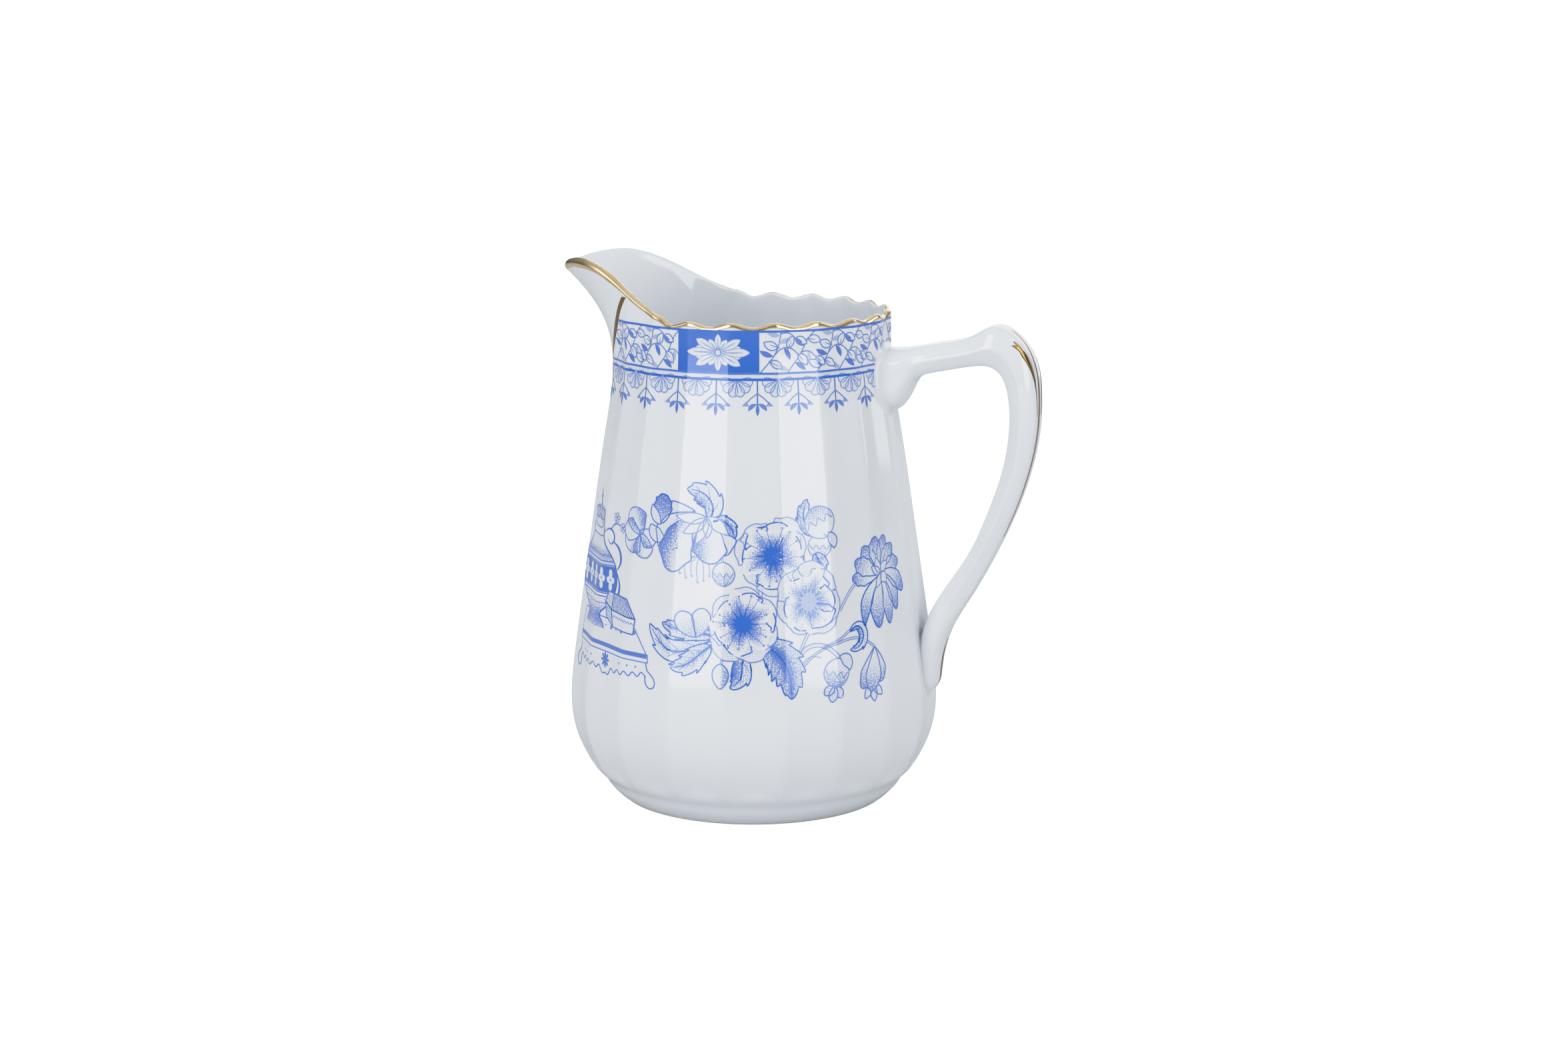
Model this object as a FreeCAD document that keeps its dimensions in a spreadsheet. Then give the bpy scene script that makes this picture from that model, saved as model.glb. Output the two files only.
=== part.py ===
"""Porcelain cream jug: a fluted, hollow slip-cast body with a pulled lip, a separately cast ear-shaped
handle luted on with slip, on-glaze gilding and under-glaze transfers. Millimetres, +Z up.

Frame: the origin is the centre of the foot on the surface that the jug stands on, the handle points
along +X and the lip along -X. Angles round the body are degrees from +X.
"""

import FreeCAD
import Part
import Sketcher
import math
import os

Vector = FreeCAD.Vector

doc = FreeCAD.newDocument("cream_jug")

# ---------------------------------------------------------------- driving dimensions
DIMENSIONS = [
    ("rim_height", 102.6),        # mean height of the scalloped rim
    ("belly_radius", 38.8),       # widest radius, over the crests of the flutes
    ("flute_count", 20),
    ("flute_depth", 0.55),        # at the belly, crest to middle of a flute
    ("scallop_height", 0.45),     # rim rises and falls by this much, one wave per flute
    ("wall_thickness", 2.3),
    ("rim_edge_thickness", 1.4),
    ("lip_edge_thickness", 2.3),
    ("floor_height", 6.0),        # inside floor above the table
    ("corner_radius", 11.0),      # inside, between floor and wall
    ("lip_root_height", 88.3),    # where the wall starts to flare into the lip
    ("lip_half_angle", 72.0),     # the lip takes this much of the rim, each side of its axis
    ("recess_radius", 25.6),      # hollow inside the foot ring
    ("recess_depth", 2.2),
    ("slip_thickness", 0.35),     # luting slip left between handle and body
    ("upper_slip_height", 89.3),
    ("upper_slip_tall", 7.9),     # half sizes of the oval smear of slip
    ("upper_slip_wide", 7.4),
    ("lower_slip_height", 32.8),
    ("lower_slip_tall", 9.9),
    ("lower_slip_wide", 5.9),
    ("slip_reach", 60.0),         # length of the outline cutters, well past the wall
    ("print_thickness", 0.06),    # fired transfer
    ("gold_thickness", 0.08),
    ("gold_band", 0.5),           # gilding reaches this far down each side of the rim
]


def make_sheet():
    sheet = doc.addObject("Spreadsheet::Sheet", "dimensions")
    for row, (alias, value) in enumerate(DIMENSIONS, start=1):
        sheet.set("A%d" % row, alias)
        sheet.set("B%d" % row, str(value))
        sheet.setAlias("B%d" % row, alias)
    doc.recompute()
    return sheet


sheet = make_sheet()

RIM = float(sheet.rim_height)
BELLY = float(sheet.belly_radius)
FLUTES = int(sheet.flute_count)
PITCH = 360.0 / FLUTES
WALL = float(sheet.wall_thickness)
FLOOR = float(sheet.floor_height)
CORNER = float(sheet.corner_radius)
LIP_ROOT = float(sheet.lip_root_height)
LIP_HALF = float(sheet.lip_half_angle)
SLIP = float(sheet.slip_thickness)
PRINT = float(sheet.print_thickness)
GOLD = float(sheet.gold_thickness)
GOLD_BAND = float(sheet.gold_band)
EDGE_HEIGHT = 1.0                 # of the rounded edge, about
EDGE_BULGE = 0.8                  # the rim's edge is this flat: 1 is a half round
LIFT = 0.01                       # clearance that keeps a fired layer off the glaze under it

# Outline of the body: share of the rim height, share of the belly radius.
BODY_OUTLINE = [
    (0.000, 0.731), (0.008, 0.752), (0.034, 0.813), (0.043, 0.826), (0.058, 0.866), (0.087, 0.919),
    (0.126, 0.965), (0.175, 0.996), (0.233, 1.000), (0.311, 0.978), (0.524, 0.896), (0.757, 0.803),
    (0.854, 0.762), (0.903, 0.748), (0.951, 0.741), (1.000, 0.740), (1.120, 0.740),
]

# Edge of the lip: degrees from the lip's axis, rise above the rim, reach beyond the neck.
LIP_EDGE = [
    (0, 8.7, 12.6), (10, 9.8, 10.7), (20, 10.5, 7.1), (30, 9.0, 3.3), (40, 6.4, 0.9),
    (50, 3.8, -0.3), (60, 1.8, -0.5), (72, 0.0, 0.0),
]
LIP_FLARE_POWER = 2.06

# Seam where the smooth lip meets the fluted wall: height, degrees from the lip's axis.
SEAM = [(91.2, 23.5), (95.4, 28.0), (98.6, 31.8), (101.5, 35.4), (103.8, 39.0), (106.6, 43.6)]

# Ribs of the handle, from the body round to the tail: outer point (x, z), inner point (x, z), half width.
HANDLE_RIBS = [
    (28.2, 96.0, 28.2, 82.9, 6.4), (30.5, 95.9, 31.4, 83.2, 6.2), (33.0, 96.1, 33.7, 86.0, 5.7),
    (35.2, 96.5, 35.4, 89.2, 5.1), (38.6, 97.2, 38.8, 90.9, 4.7), (43.6, 98.1, 44.0, 92.0, 4.6),
    (47.6, 99.6, 48.2, 92.7, 4.7), (51.6, 101.5, 51.0, 92.5, 5.0), (56.3, 99.5, 53.0, 91.1, 5.1),
    (59.6, 94.7, 54.1, 88.9, 5.1), (60.9, 88.0, 54.8, 85.4, 5.0), (60.8, 80.0, 54.9, 80.0, 4.9),
    (59.2, 71.5, 53.8, 72.6, 4.7), (55.9, 61.8, 50.9, 63.6, 4.5), (51.0, 51.4, 46.4, 53.6, 4.3),
    (46.7, 43.7, 41.3, 45.9, 4.3), (43.4, 38.0, 38.0, 39.6, 4.5), (41.5, 32.5, 36.7, 33.5, 4.6),
    (40.9, 28.0, 36.7, 28.0, 4.2), (39.9, 25.0, 36.8, 25.0, 3.2), (38.2, 23.5, 37.0, 23.7, 1.7),
]
SECTION_POWER = 2.5               # 2 is an ellipse, more is squarer


# ---------------------------------------------------------------- curves
def natural_spline(xs, ys):
    """Natural cubic spline through the points, as a function of x."""
    count = len(xs)
    gaps = [xs[i + 1] - xs[i] for i in range(count - 1)]
    lower = [0.0] * count
    right = [0.0] * count
    for i in range(1, count - 1):
        pull = 6.0 * ((ys[i + 1] - ys[i]) / gaps[i] - (ys[i] - ys[i - 1]) / gaps[i - 1])
        pivot = 2.0 * (gaps[i - 1] + gaps[i]) - gaps[i - 1] * lower[i - 1]
        lower[i] = gaps[i] / pivot
        right[i] = (pull - gaps[i - 1] * right[i - 1]) / pivot
    bend = [0.0] * count
    for i in range(count - 2, 0, -1):
        bend[i] = right[i] - lower[i] * bend[i + 1]

    def value(x):
        x = min(max(x, xs[0]), xs[-1])
        i = 0
        while i < count - 2 and x > xs[i + 1]:
            i += 1
        a = (xs[i + 1] - x) / gaps[i]
        b = (x - xs[i]) / gaps[i]
        curve = (a ** 3 - a) * bend[i] + (b ** 3 - b) * bend[i + 1]
        return a * ys[i] + b * ys[i + 1] + curve * gaps[i] ** 2 / 6.0

    return value


def mirrored_spline(points, column):
    """Spline over signed angles, the same on both sides of zero."""
    half = [(p[0], p[column]) for p in points]
    whole = [(-a, v) for a, v in reversed(half[1:])] + half
    return natural_spline([p[0] for p in whole], [p[1] for p in whole])


def ramp(x, start, end):
    """Smooth step from 0 at start to 1 at end."""
    t = min(max((x - start) / (end - start), 0.0), 1.0)
    return t * t * (3.0 - 2.0 * t)


outline_radius = natural_spline([p[0] * RIM for p in BODY_OUTLINE], [p[1] * BELLY for p in BODY_OUTLINE])
lip_rise = mirrored_spline(LIP_EDGE, 1)
lip_reach = mirrored_spline(LIP_EDGE, 2)
seam_angle = natural_spline([p[0] for p in SEAM], [p[1] for p in SEAM])


# ---------------------------------------------------------------- body surface
def from_lip(phi):
    """Signed degrees from the lip's axis."""
    return (phi % 360.0) - 180.0


def rim_top(phi):
    """Height of the rim: scallops, and the lip rising out of them."""
    away = abs(from_lip(phi))
    waves = ramp(away, LIP_HALF - PITCH / 2.0, LIP_HALF)
    height = RIM - sheet.scallop_height * math.cos(math.radians(FLUTES * phi)) * waves
    if away < LIP_HALF:
        height += lip_rise(from_lip(phi))
    return height


def flute_share(phi, height):
    """How deep the flute is here, 0 on a crest to 1 in its middle, fading at the foot and the lip."""
    crease_round = 0.12
    offset = (phi + PITCH / 2.0) % PITCH - PITCH / 2.0
    across = abs(offset) / (PITCH / 2.0)
    inward = math.sqrt((1.0 - across) ** 2 + crease_round ** 2) - crease_round
    depth = 2.0 * inward - inward ** 2
    arch = 4.6 + 1.8 * (1.0 - across ** 2)
    depth *= ramp(height, arch, arch + 2.6)
    away = abs(from_lip(phi))
    under_lip = ramp(height, LIP_ROOT - 5.0, LIP_ROOT + 7.0) * (1.0 - ramp(away, 22.0, 40.0))
    beside_lip = ramp(height, RIM - 3.0, RIM + 4.0)
    return depth * (1.0 - under_lip) * (1.0 - beside_lip * (1.0 if away < LIP_HALF else 0.0))


def wall_radius(phi, height, depth_share=1.0):
    """Outer radius of the body."""
    depth = sheet.flute_depth / BELLY * flute_share(phi, height) * depth_share
    radius = outline_radius(height) * (1.0 - depth)
    if abs(from_lip(phi)) < LIP_HALF and height > LIP_ROOT:
        share = (height - LIP_ROOT) / (rim_top(phi) - EDGE_HEIGHT - LIP_ROOT)
        radius += lip_reach(from_lip(phi)) * share ** LIP_FLARE_POWER
    return radius


def wall_slope(phi, height):
    step = 0.2
    return (wall_radius(phi, height + step) - wall_radius(phi, height - step)) / (2.0 * step)


def polar(phi, radius, height):
    turn = math.radians(phi)
    return Vector(radius * math.cos(turn), radius * math.sin(turn), height)


def on_wall(phi, height, lift=0.0):
    """Point on the outside of the body, lifted off it along the surface's normal in its own meridian."""
    slope = wall_slope(phi, height)
    length = math.sqrt(1.0 + slope * slope)
    radius = wall_radius(phi, height) + lift / length
    return polar(phi, radius, height - lift * slope / length)


def wall_top(phi):
    """Height where the wall ends, so that the rounded edge above it tops out at the rim's height."""
    slope = wall_slope(phi, rim_top(phi))
    half = edge_thickness(phi) / 2.0
    return rim_top(phi) - half * (EDGE_BULGE + max(slope, 0.0)) / math.sqrt(1.0 + slope * slope)


def edge_thickness(phi):
    """Thickness of the wall at its edge, greater at the lip."""
    plain = sheet.rim_edge_thickness
    return plain + (sheet.lip_edge_thickness - plain) * (1.0 - ramp(abs(from_lip(phi)), 15.0, 50.0))


def wall_thickness(phi, height):
    """Thickest round the belly, and thinning towards the edge."""
    belly = WALL * (1.0 + 0.35 * (1.0 - ramp(height, 20.0, 60.0)))
    return belly + (edge_thickness(phi) - belly) * ramp(height, 76.0, 98.0)


def inner_point(phi, height):
    """Point on the inside wall, one wall thickness in from the outside point at this height."""
    slope = wall_slope(phi, height)
    length = math.sqrt(1.0 + slope * slope)
    across = ramp(height, 60.0, 80.0)
    thickness = wall_thickness(phi, height)
    smooth = wall_radius(phi, height, 0.55)
    smooth += (wall_radius(phi, height) - smooth) * ramp(height, wall_top(phi) - 6.0, wall_top(phi))
    radius = smooth - thickness * ((1.0 - across) * length + across / length)
    level = height + thickness * across * slope / length
    below = FLOOR + CORNER - level
    if below > 0.0:
        radius -= CORNER - math.sqrt(max(CORNER ** 2 - below ** 2, 0.0))
    return polar(phi, radius, level)


def edge_arc(phi, lift, steps):
    """Rounded edge of the rim, from the outside over the top to the inside."""
    outer = on_wall(phi, wall_top(phi))
    inner = inner_point(phi, wall_top(phi))
    middle = (outer + inner) * 0.5
    half = (outer - inner) * 0.5
    ring = Vector(-math.sin(math.radians(phi)), math.cos(math.radians(phi)), 0.0)
    up = ring.cross(half).normalize() * -1.0
    if up.z < 0.0:
        up = up * -1.0
    reach = half.Length
    out = half * (1.0 / reach)
    points = []
    for i in range(steps + 1):
        angle = math.pi * i / steps
        side = (reach + lift) * math.cos(angle)
        rise = (EDGE_BULGE * reach + lift) * math.sin(angle)
        points.append(middle + out * side + up * rise)
    return points


# ---------------------------------------------------------------- surfaces from grids of control points
def clamped_knots(poles, degree):
    spans = poles - degree
    knots = [float(i) for i in range(spans + 1)]
    mults = [degree + 1] + [1] * (spans - 1) + [degree + 1]
    return knots, mults


def patch(grid):
    """B-spline face whose control points are the grid; neighbours that share a border row fit exactly."""
    rows = len(grid)
    columns = len(grid[0])
    u_degree = min(3, rows - 1)
    v_degree = min(3, columns - 1)
    u_knots, u_mults = clamped_knots(rows, u_degree)
    v_knots, v_mults = clamped_knots(columns, v_degree)
    surface = Part.BSplineSurface()
    surface.buildFromPolesMultsKnots(grid, u_mults, v_mults, u_knots, v_knots, False, False,
                                     u_degree, v_degree)
    return surface.toShape()


def edge_of(points):
    knots, mults = clamped_knots(len(points), 3)
    curve = Part.BSplineCurve()
    curve.buildFromPolesMultsKnots(points, mults, knots, False, 3)
    return curve.toShape()


def sewn_solid(faces):
    shell = Part.makeShell(faces)
    shell.sewShape()
    shell.fix(1e-4, 1e-4, 1e-3)
    solid = Part.makeSolid(Part.makeShell(shell.Faces))
    if solid.Volume < 0.0:
        solid.reverse()
    return solid


def slab(under, over):
    """Thin closed solid between two grids of the same size."""
    faces = [patch(under), patch(over)]
    for row in (0, -1):
        faces.append(patch([under[row], over[row]]))
    for column in (0, -1):
        faces.append(patch([[line[column] for line in under], [line[column] for line in over]]))
    return sewn_solid(faces)


def half_turns():
    """The two halves of the body, as lists of angles that share their ends."""
    steps = FLUTES * 6
    near = [180.0 * i / steps for i in range(steps + 1)]
    return [near, [180.0 + a for a in near]]


def shares(rows):
    """Shares of a height, closer together at both ends."""
    return [0.5 * (i / rows) + 0.5 * 0.5 * (1.0 - math.cos(math.pi * i / rows)) for i in range(rows + 1)]


def body_form_shape():
    """Outside wall, rounded edge, inside wall, inside floor and flat underside."""
    faces = []
    floor_edges = []
    base_edges = []
    for angles in half_turns():
        outer = [[on_wall(a, s * wall_top(a)) for a in angles] for s in shares(54)]
        lip = [list(row) for row in zip(*[edge_arc(a, 0.0, 8) for a in angles])]
        inner = []
        for s in shares(40):
            inner.append([inner_point(a, FLOOR + s * (wall_top(a) - FLOOR)) for a in angles])
        for point in inner[0]:
            point.z = FLOOR
        lip[0] = outer[-1]
        lip[-1] = inner[-1]
        faces += [patch(outer), patch(lip), patch(inner)]
        base_edges.append(edge_of(outer[0]))
        floor_edges.append(edge_of(inner[0]))
    faces.append(Part.Face(Part.Wire(base_edges)))
    faces.append(Part.Face(Part.Wire(floor_edges)))
    return sewn_solid(faces)


# ---------------------------------------------------------------- layers on the body
def wall_layer(place, rows, columns, thickness, lift_under=LIFT):
    """Fired layer on the outside: place(u, v) gives the angle and the height, u and v from 0 to 1."""
    def sheet_at(lift):
        grid = []
        for i in range(rows + 1):
            spots = [place(j / columns, i / rows) for j in range(columns + 1)]
            grid.append([on_wall(phi, height, lift) for phi, height in spots])
        return grid
    return slab(sheet_at(lift_under), sheet_at(max(lift_under, 0.0) + thickness))


def border_place(u, v):
    """Printed border: all round but for the lip, from the pendants' tips to just under the rim."""
    low = 84.6
    high = 102.25
    height = low + (high - low) * v
    gap = 2.0 + seam_angle(height)
    start = -180.0 + gap
    return start + (360.0 - 2.0 * gap) * u, height


def spray_place(turn):
    """Flower spray: slants away from the vase beside it."""
    def place(u, v):
        left = -102.0 - 22.0 * v
        right = -13.5
        return turn + left + (right - left) * u, 25.0 + 47.0 * v
    return place


def vase_place(turn):
    def place(u, v):
        left = -164.0
        right = -103.0 - 22.0 * v
        return turn + left + (right - left) * u, 29.0 + 43.0 * v
    return place


def seam_place(side):
    """Gold line along the seam, tapering to its lower end."""
    def place(u, v):
        low = SEAM[0][0]
        high = SEAM[-1][0]
        height = low + (high - low) * v
        half_width = 0.15 + 0.75 * ramp(v, 0.0, 0.5)
        return 180.0 + side * (seam_angle(height) + half_width * (2.0 * u - 1.0)), height
    return place


def rim_gilding_shape():
    """Gold over the edge of the rim and a little way down both sides."""
    faces = []
    for angles in half_turns():
        sheets = []
        for lift in (LIFT, LIFT + GOLD):
            lines = []
            for a in angles:
                top = wall_top(a)
                arc = edge_arc(a, lift, 8)
                outside = on_wall(a, top - GOLD_BAND, lift)
                inner_low = inner_point(a, top - GOLD_BAND)
                inward = (inner_point(a, top - GOLD_BAND) - on_wall(a, top - GOLD_BAND)).normalize()
                lines.append([outside] + arc + [inner_low + inward * lift])
            sheets.append([list(row) for row in zip(*lines)])
        under, over = sheets
        faces += [patch(under), patch(over), patch([under[0], over[0]]), patch([under[-1], over[-1]])]
    return sewn_solid(faces)


# ---------------------------------------------------------------- handle surface
def handle_tracks():
    """Splines of the ribs' numbers over the distance along the handle."""
    middles = [((r[0] + r[2]) / 2.0, (r[1] + r[3]) / 2.0) for r in HANDLE_RIBS]
    along = [0.0]
    for a, b in zip(middles, middles[1:]):
        along.append(along[-1] + math.hypot(b[0] - a[0], b[1] - a[1]))
    return along, [natural_spline(along, [r[k] for r in HANDLE_RIBS]) for k in range(5)]


RIB_ALONG, RIB_TRACKS = handle_tracks()


def rib_distance(rib):
    """Distance along the handle of a rib, counted from 0, whole or between two ribs."""
    base = min(int(rib), len(RIB_ALONG) - 2)
    return RIB_ALONG[base] + (rib - base) * (RIB_ALONG[base + 1] - RIB_ALONG[base])


def on_handle(distance, angle, lift=0.0):
    """Point on the handle: angle 0 is its outer spine, 90 its -Y side and 180 its inner side."""
    outer_x, outer_z, inner_x, inner_z, half_width = [track(distance) for track in RIB_TRACKS]
    middle = Vector((outer_x + inner_x) / 2.0, 0.0, (outer_z + inner_z) / 2.0)
    out = Vector(outer_x, 0.0, outer_z) - middle
    c = math.cos(math.radians(angle))
    s = math.sin(math.radians(angle))
    size = (abs(c) ** SECTION_POWER + abs(s) ** SECTION_POWER) ** (-1.0 / SECTION_POWER)
    unit = out * (1.0 / out.Length)
    in_plane = (out.Length + lift) * size * c
    across = (half_width + lift) * size * s
    return middle + unit * in_plane + Vector(0.0, -across, 0.0)


def handle_form_shape():
    """The handle from inside the wall at its root to inside the wall at its tail."""
    sections = 84
    around = 12
    total = RIB_ALONG[-1]
    faces = []
    start_edges = []
    end_edges = []
    for first in (0.0, 180.0):
        grid = []
        for i in range(sections + 1):
            distance = total * i / sections
            grid.append([on_handle(distance, first + 180.0 * j / around) for j in range(around + 1)])
        faces.append(patch(grid))
        start_edges.append(edge_of(grid[0]))
        end_edges.append(edge_of(grid[-1]))
    faces.append(Part.Face(Part.Wire(start_edges)))
    faces.append(Part.Face(Part.Wire(end_edges)))
    return sewn_solid(faces)


def handle_layer(start, end, centre, half_width):
    """Brush stroke of gold on the handle: centre and half width are degrees over the share along it."""
    first = rib_distance(start)
    last = rib_distance(end)

    def sheet_at(lift):
        grid = []
        for i in range(41):
            v = i / 40.0
            distance = first + (last - first) * v
            middle = centre(v)
            half = half_width(v)
            grid.append([on_handle(distance, middle + half * side, lift) for side in (-1.0, -0.4, 0.4, 1.0)])
        return grid
    return slab(sheet_at(LIFT), sheet_at(LIFT + GOLD))


# ---------------------------------------------------------------- document objects
def feature(label, shape):
    item = doc.addObject("Part::Feature", label)
    item.Label = label
    item.Shape = shape
    item.Placement = FreeCAD.Placement()
    return item


def origin_plane(body, role):
    return next(f for f in body.Origin.OriginFeatures if f.Role == role)


def sketched_body(label, role, draw):
    body = doc.addObject("PartDesign::Body", label)
    body.Label = label
    sketch = body.newObject("Sketcher::SketchObject", label + "_sketch")
    sketch.AttachmentSupport = [(origin_plane(body, role), "")]
    sketch.MapMode = "FlatFace"
    draw(sketch)
    doc.recompute()
    return body, sketch


def foot_recess():
    """Disc that hollows the foot, leaving the ring that the jug stands on."""
    def draw(sketch):
        circle = sketch.addGeometry(Part.Circle(Vector(0, 0, 0), Vector(0, 0, 1), 25.0), False)
        sketch.addConstraint(Sketcher.Constraint("Coincident", circle, 3, -1, 1))
        radius = sketch.addConstraint(Sketcher.Constraint("Radius", circle, 25.0))
        sketch.setExpression("Constraints[%d]" % radius, "dimensions.recess_radius")
    body, sketch = sketched_body("foot_recess", "XY_Plane", draw)
    pad = body.newObject("PartDesign::Pad", "foot_recess_pad")
    pad.Profile = sketch
    pad.setExpression("Length", "dimensions.recess_depth")
    rounding = body.newObject("PartDesign::Fillet", "foot_recess_fillet")
    doc.recompute()
    rounding.Base = (pad, [round_edge_name(pad.Shape, float(sheet.recess_depth))])
    rounding.Radius = 1.2
    body.Tip = rounding
    doc.recompute()
    return body


def round_edge_name(shape, height):
    """Name of the circular edge at this height."""
    for number, edge in enumerate(shape.Edges, start=1):
        if abs(edge.BoundBox.ZMin - height) < 1e-6 and abs(edge.BoundBox.ZMax - height) < 1e-6:
            return "Edge%d" % number
    raise ValueError("no edge at height %g" % height)


def oval_cutter(label, height_alias, tall_alias, wide_alias):
    """Oval bar along +X, the outline of the slip under one end of the handle."""
    def draw(sketch):
        tall = float(sheet.get(tall_alias))
        wide = float(sheet.get(wide_alias))
        level = float(sheet.get(height_alias))
        centre = Vector(0, level, 0)
        top = Vector(0, level + tall, 0)
        side = Vector(-wide, level, 0)
        sketch.addGeometry(Part.Ellipse(top, side, centre), False)
        sketch.exposeInternalGeometry(0)
        sketch.addConstraint(Sketcher.Constraint("PointOnObject", 0, 3, -2))
        level_rule = sketch.addConstraint(Sketcher.Constraint("DistanceY", -1, 1, 0, 3, level))
        tall_rule = sketch.addConstraint(Sketcher.Constraint("DistanceY", 1, 2, 1, 1, 2.0 * tall))
        wide_rule = sketch.addConstraint(Sketcher.Constraint("DistanceX", 2, 1, 2, 2, 2.0 * wide))
        sketch.addConstraint(Sketcher.Constraint("Vertical", 1))
        for rule, text in ((level_rule, "dimensions.%s" % height_alias),
                           (tall_rule, "2 * dimensions.%s" % tall_alias),
                           (wide_rule, "2 * dimensions.%s" % wide_alias)):
            sketch.setExpression("Constraints[%d]" % rule, text)
    body, sketch = sketched_body(label, "YZ_Plane", draw)
    pad = body.newObject("PartDesign::Pad", label + "_pad")
    pad.Profile = sketch
    pad.setExpression("Length", "dimensions.slip_reach")
    body.Tip = pad
    doc.recompute()
    return body


def combine(kind, label, base, tool):
    item = doc.addObject(kind, label)
    item.Label = label
    item.Base = base
    item.Tool = tool
    doc.recompute()
    return item


def slip_place(level, tall, half_angle):
    """Square patch of the wall behind one end of the handle."""
    def place(u, v):
        return half_angle * (2.0 * u - 1.0), level + tall * (2.0 * v - 1.0)
    return place


def luting_slip(label, end, half_angle, body_form):
    """Smear of slip that joins one end of the handle to the wall, cut to the wall itself."""
    margin = 0.6
    level = float(sheet.get(end + "_slip_height"))
    tall = float(sheet.get(end + "_slip_tall")) + margin
    place = slip_place(level, tall, half_angle)
    layer = feature(end + "_slip_layer", wall_layer(place, 30, 30, SLIP, lift_under=-SLIP))
    outline = oval_cutter(end + "_slip_outline", end + "_slip_height", end + "_slip_tall",
                          end + "_slip_wide")
    oval = combine("Part::Common", end + "_slip_oval", layer, outline)
    return combine("Part::Cut", label, oval, body_form), outline


def mirror_side(shape):
    return shape.mirror(Vector(0, 0, 0), Vector(0, 1, 0))


def stroke_shape():
    """Tapered brush stroke on the -Y face of the grip, running down from the thumb rest."""
    def centre(v):
        return 48.0 - 28.0 * v

    def half_width(v):
        return 1.2 + 6.5 * ramp(v, 0.0, 0.25) * (1.0 - ramp(v, 0.3, 1.0))
    return handle_layer(8.1, 10.6, centre, half_width)


def spine_shape(start, end):
    """Thin gold line along the handle's outer spine, tapered at both ends."""
    def half_width(v):
        return 1.0 + 8.0 * ramp(v, 0.0, 0.25) * (1.0 - ramp(v, 0.7, 1.0))
    return handle_layer(start, end, lambda v: 0.0, half_width)


def build():
    """All sub-parts, in the order in which the jug is made."""
    body_form = feature("body_form", body_form_shape())
    body = combine("Part::Cut", "body", body_form, foot_recess())

    upper_slip, upper_outline = luting_slip("upper_luting_slip", "upper", 19.0, body_form)
    lower_slip, _ = luting_slip("lower_luting_slip", "lower", 11.0, body_form)
    handle_form = feature("handle_form", handle_form_shape())
    handle_rest = combine("Part::Cut", "handle_off_body", handle_form, body_form)
    handle_rest = combine("Part::Cut", "handle_off_upper_slip", handle_rest, upper_slip)
    handle = combine("Part::Cut", "handle", handle_rest, lower_slip)

    border_layer = feature("border_layer", wall_layer(border_place, 12, 240, PRINT))
    border = combine("Part::Cut", "border_transfer", border_layer, upper_outline)
    parts = [body, handle, upper_slip, lower_slip, border]

    for side, turn in (("left", 0.0), ("right", 180.0)):
        parts.append(feature("spray_transfer_" + side, wall_layer(spray_place(turn), 24, 60, PRINT)))
        parts.append(feature("vase_transfer_" + side, wall_layer(vase_place(turn), 24, 40, PRINT)))

    parts.append(feature("rim_gilding", rim_gilding_shape()))
    for side, sign in (("left", 1.0), ("right", -1.0)):
        parts.append(feature("lip_seam_gilding_" + side, wall_layer(seam_place(sign), 30, 4, GOLD)))

    parts.append(feature("handle_spine_gilding", spine_shape(7.7, 13.4)))
    parts.append(feature("handle_tail_gilding", spine_shape(16.4, 19.1)))
    parts.append(feature("handle_stroke_left", stroke_shape()))
    parts.append(feature("handle_stroke_right", mirror_side(stroke_shape())))
    return parts


def check(parts):
    """Nothing may have failed before anything is written."""
    for item in doc.Objects:
        if "Invalid" in item.State or "Error" in item.State:
            raise RuntimeError("%s failed: %s" % (item.Label, item.State))
    for item in parts:
        shape = item.Shape
        if shape.isNull() or not shape.isValid() or not shape.Solids:
            raise RuntimeError("%s has no valid solid" % item.Label)


def write(parts):
    os.makedirs("parts", exist_ok=True)
    for item in parts:
        item.Shape.exportStep("parts/%s.step" % item.Label)
        box = item.Shape.BoundBox
        print("%-26s %2d solid %9.2f mm3  x %.1f..%.1f  y %.1f..%.1f  z %.1f..%.1f" % (
            item.Label, len(item.Shape.Solids), item.Shape.Volume,
            box.XMin, box.XMax, box.YMin, box.YMax, box.ZMin, box.ZMax))


sub_parts = build()
doc.recompute()
check(sub_parts)
write(sub_parts)
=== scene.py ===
"""Looks of the porcelain cream jug: glazed body, handle and luting fillets, gilding, and the cobalt-blue
printed decoration laid on the curved wall.

Shapes are worked out in millimetres from the same driving dimensions as the frame, and every mesh is
handed to Blender in metres. Angles round the body are degrees from +X; the lip points along -X.
"""

import math
import random

import bpy
import numpy as np
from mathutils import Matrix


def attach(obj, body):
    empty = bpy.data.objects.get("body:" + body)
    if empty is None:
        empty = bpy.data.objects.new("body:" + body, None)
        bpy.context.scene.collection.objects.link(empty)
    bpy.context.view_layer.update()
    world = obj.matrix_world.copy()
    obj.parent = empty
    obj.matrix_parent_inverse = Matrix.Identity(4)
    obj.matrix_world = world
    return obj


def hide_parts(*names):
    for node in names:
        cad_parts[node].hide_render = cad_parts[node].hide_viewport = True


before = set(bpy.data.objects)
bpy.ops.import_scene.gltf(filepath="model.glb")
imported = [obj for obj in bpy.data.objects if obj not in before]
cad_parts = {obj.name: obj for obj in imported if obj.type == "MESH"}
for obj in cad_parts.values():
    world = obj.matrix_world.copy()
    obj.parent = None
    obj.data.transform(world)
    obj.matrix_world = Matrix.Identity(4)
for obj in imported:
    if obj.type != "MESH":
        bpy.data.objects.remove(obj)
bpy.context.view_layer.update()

MM = 0.001

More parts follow.
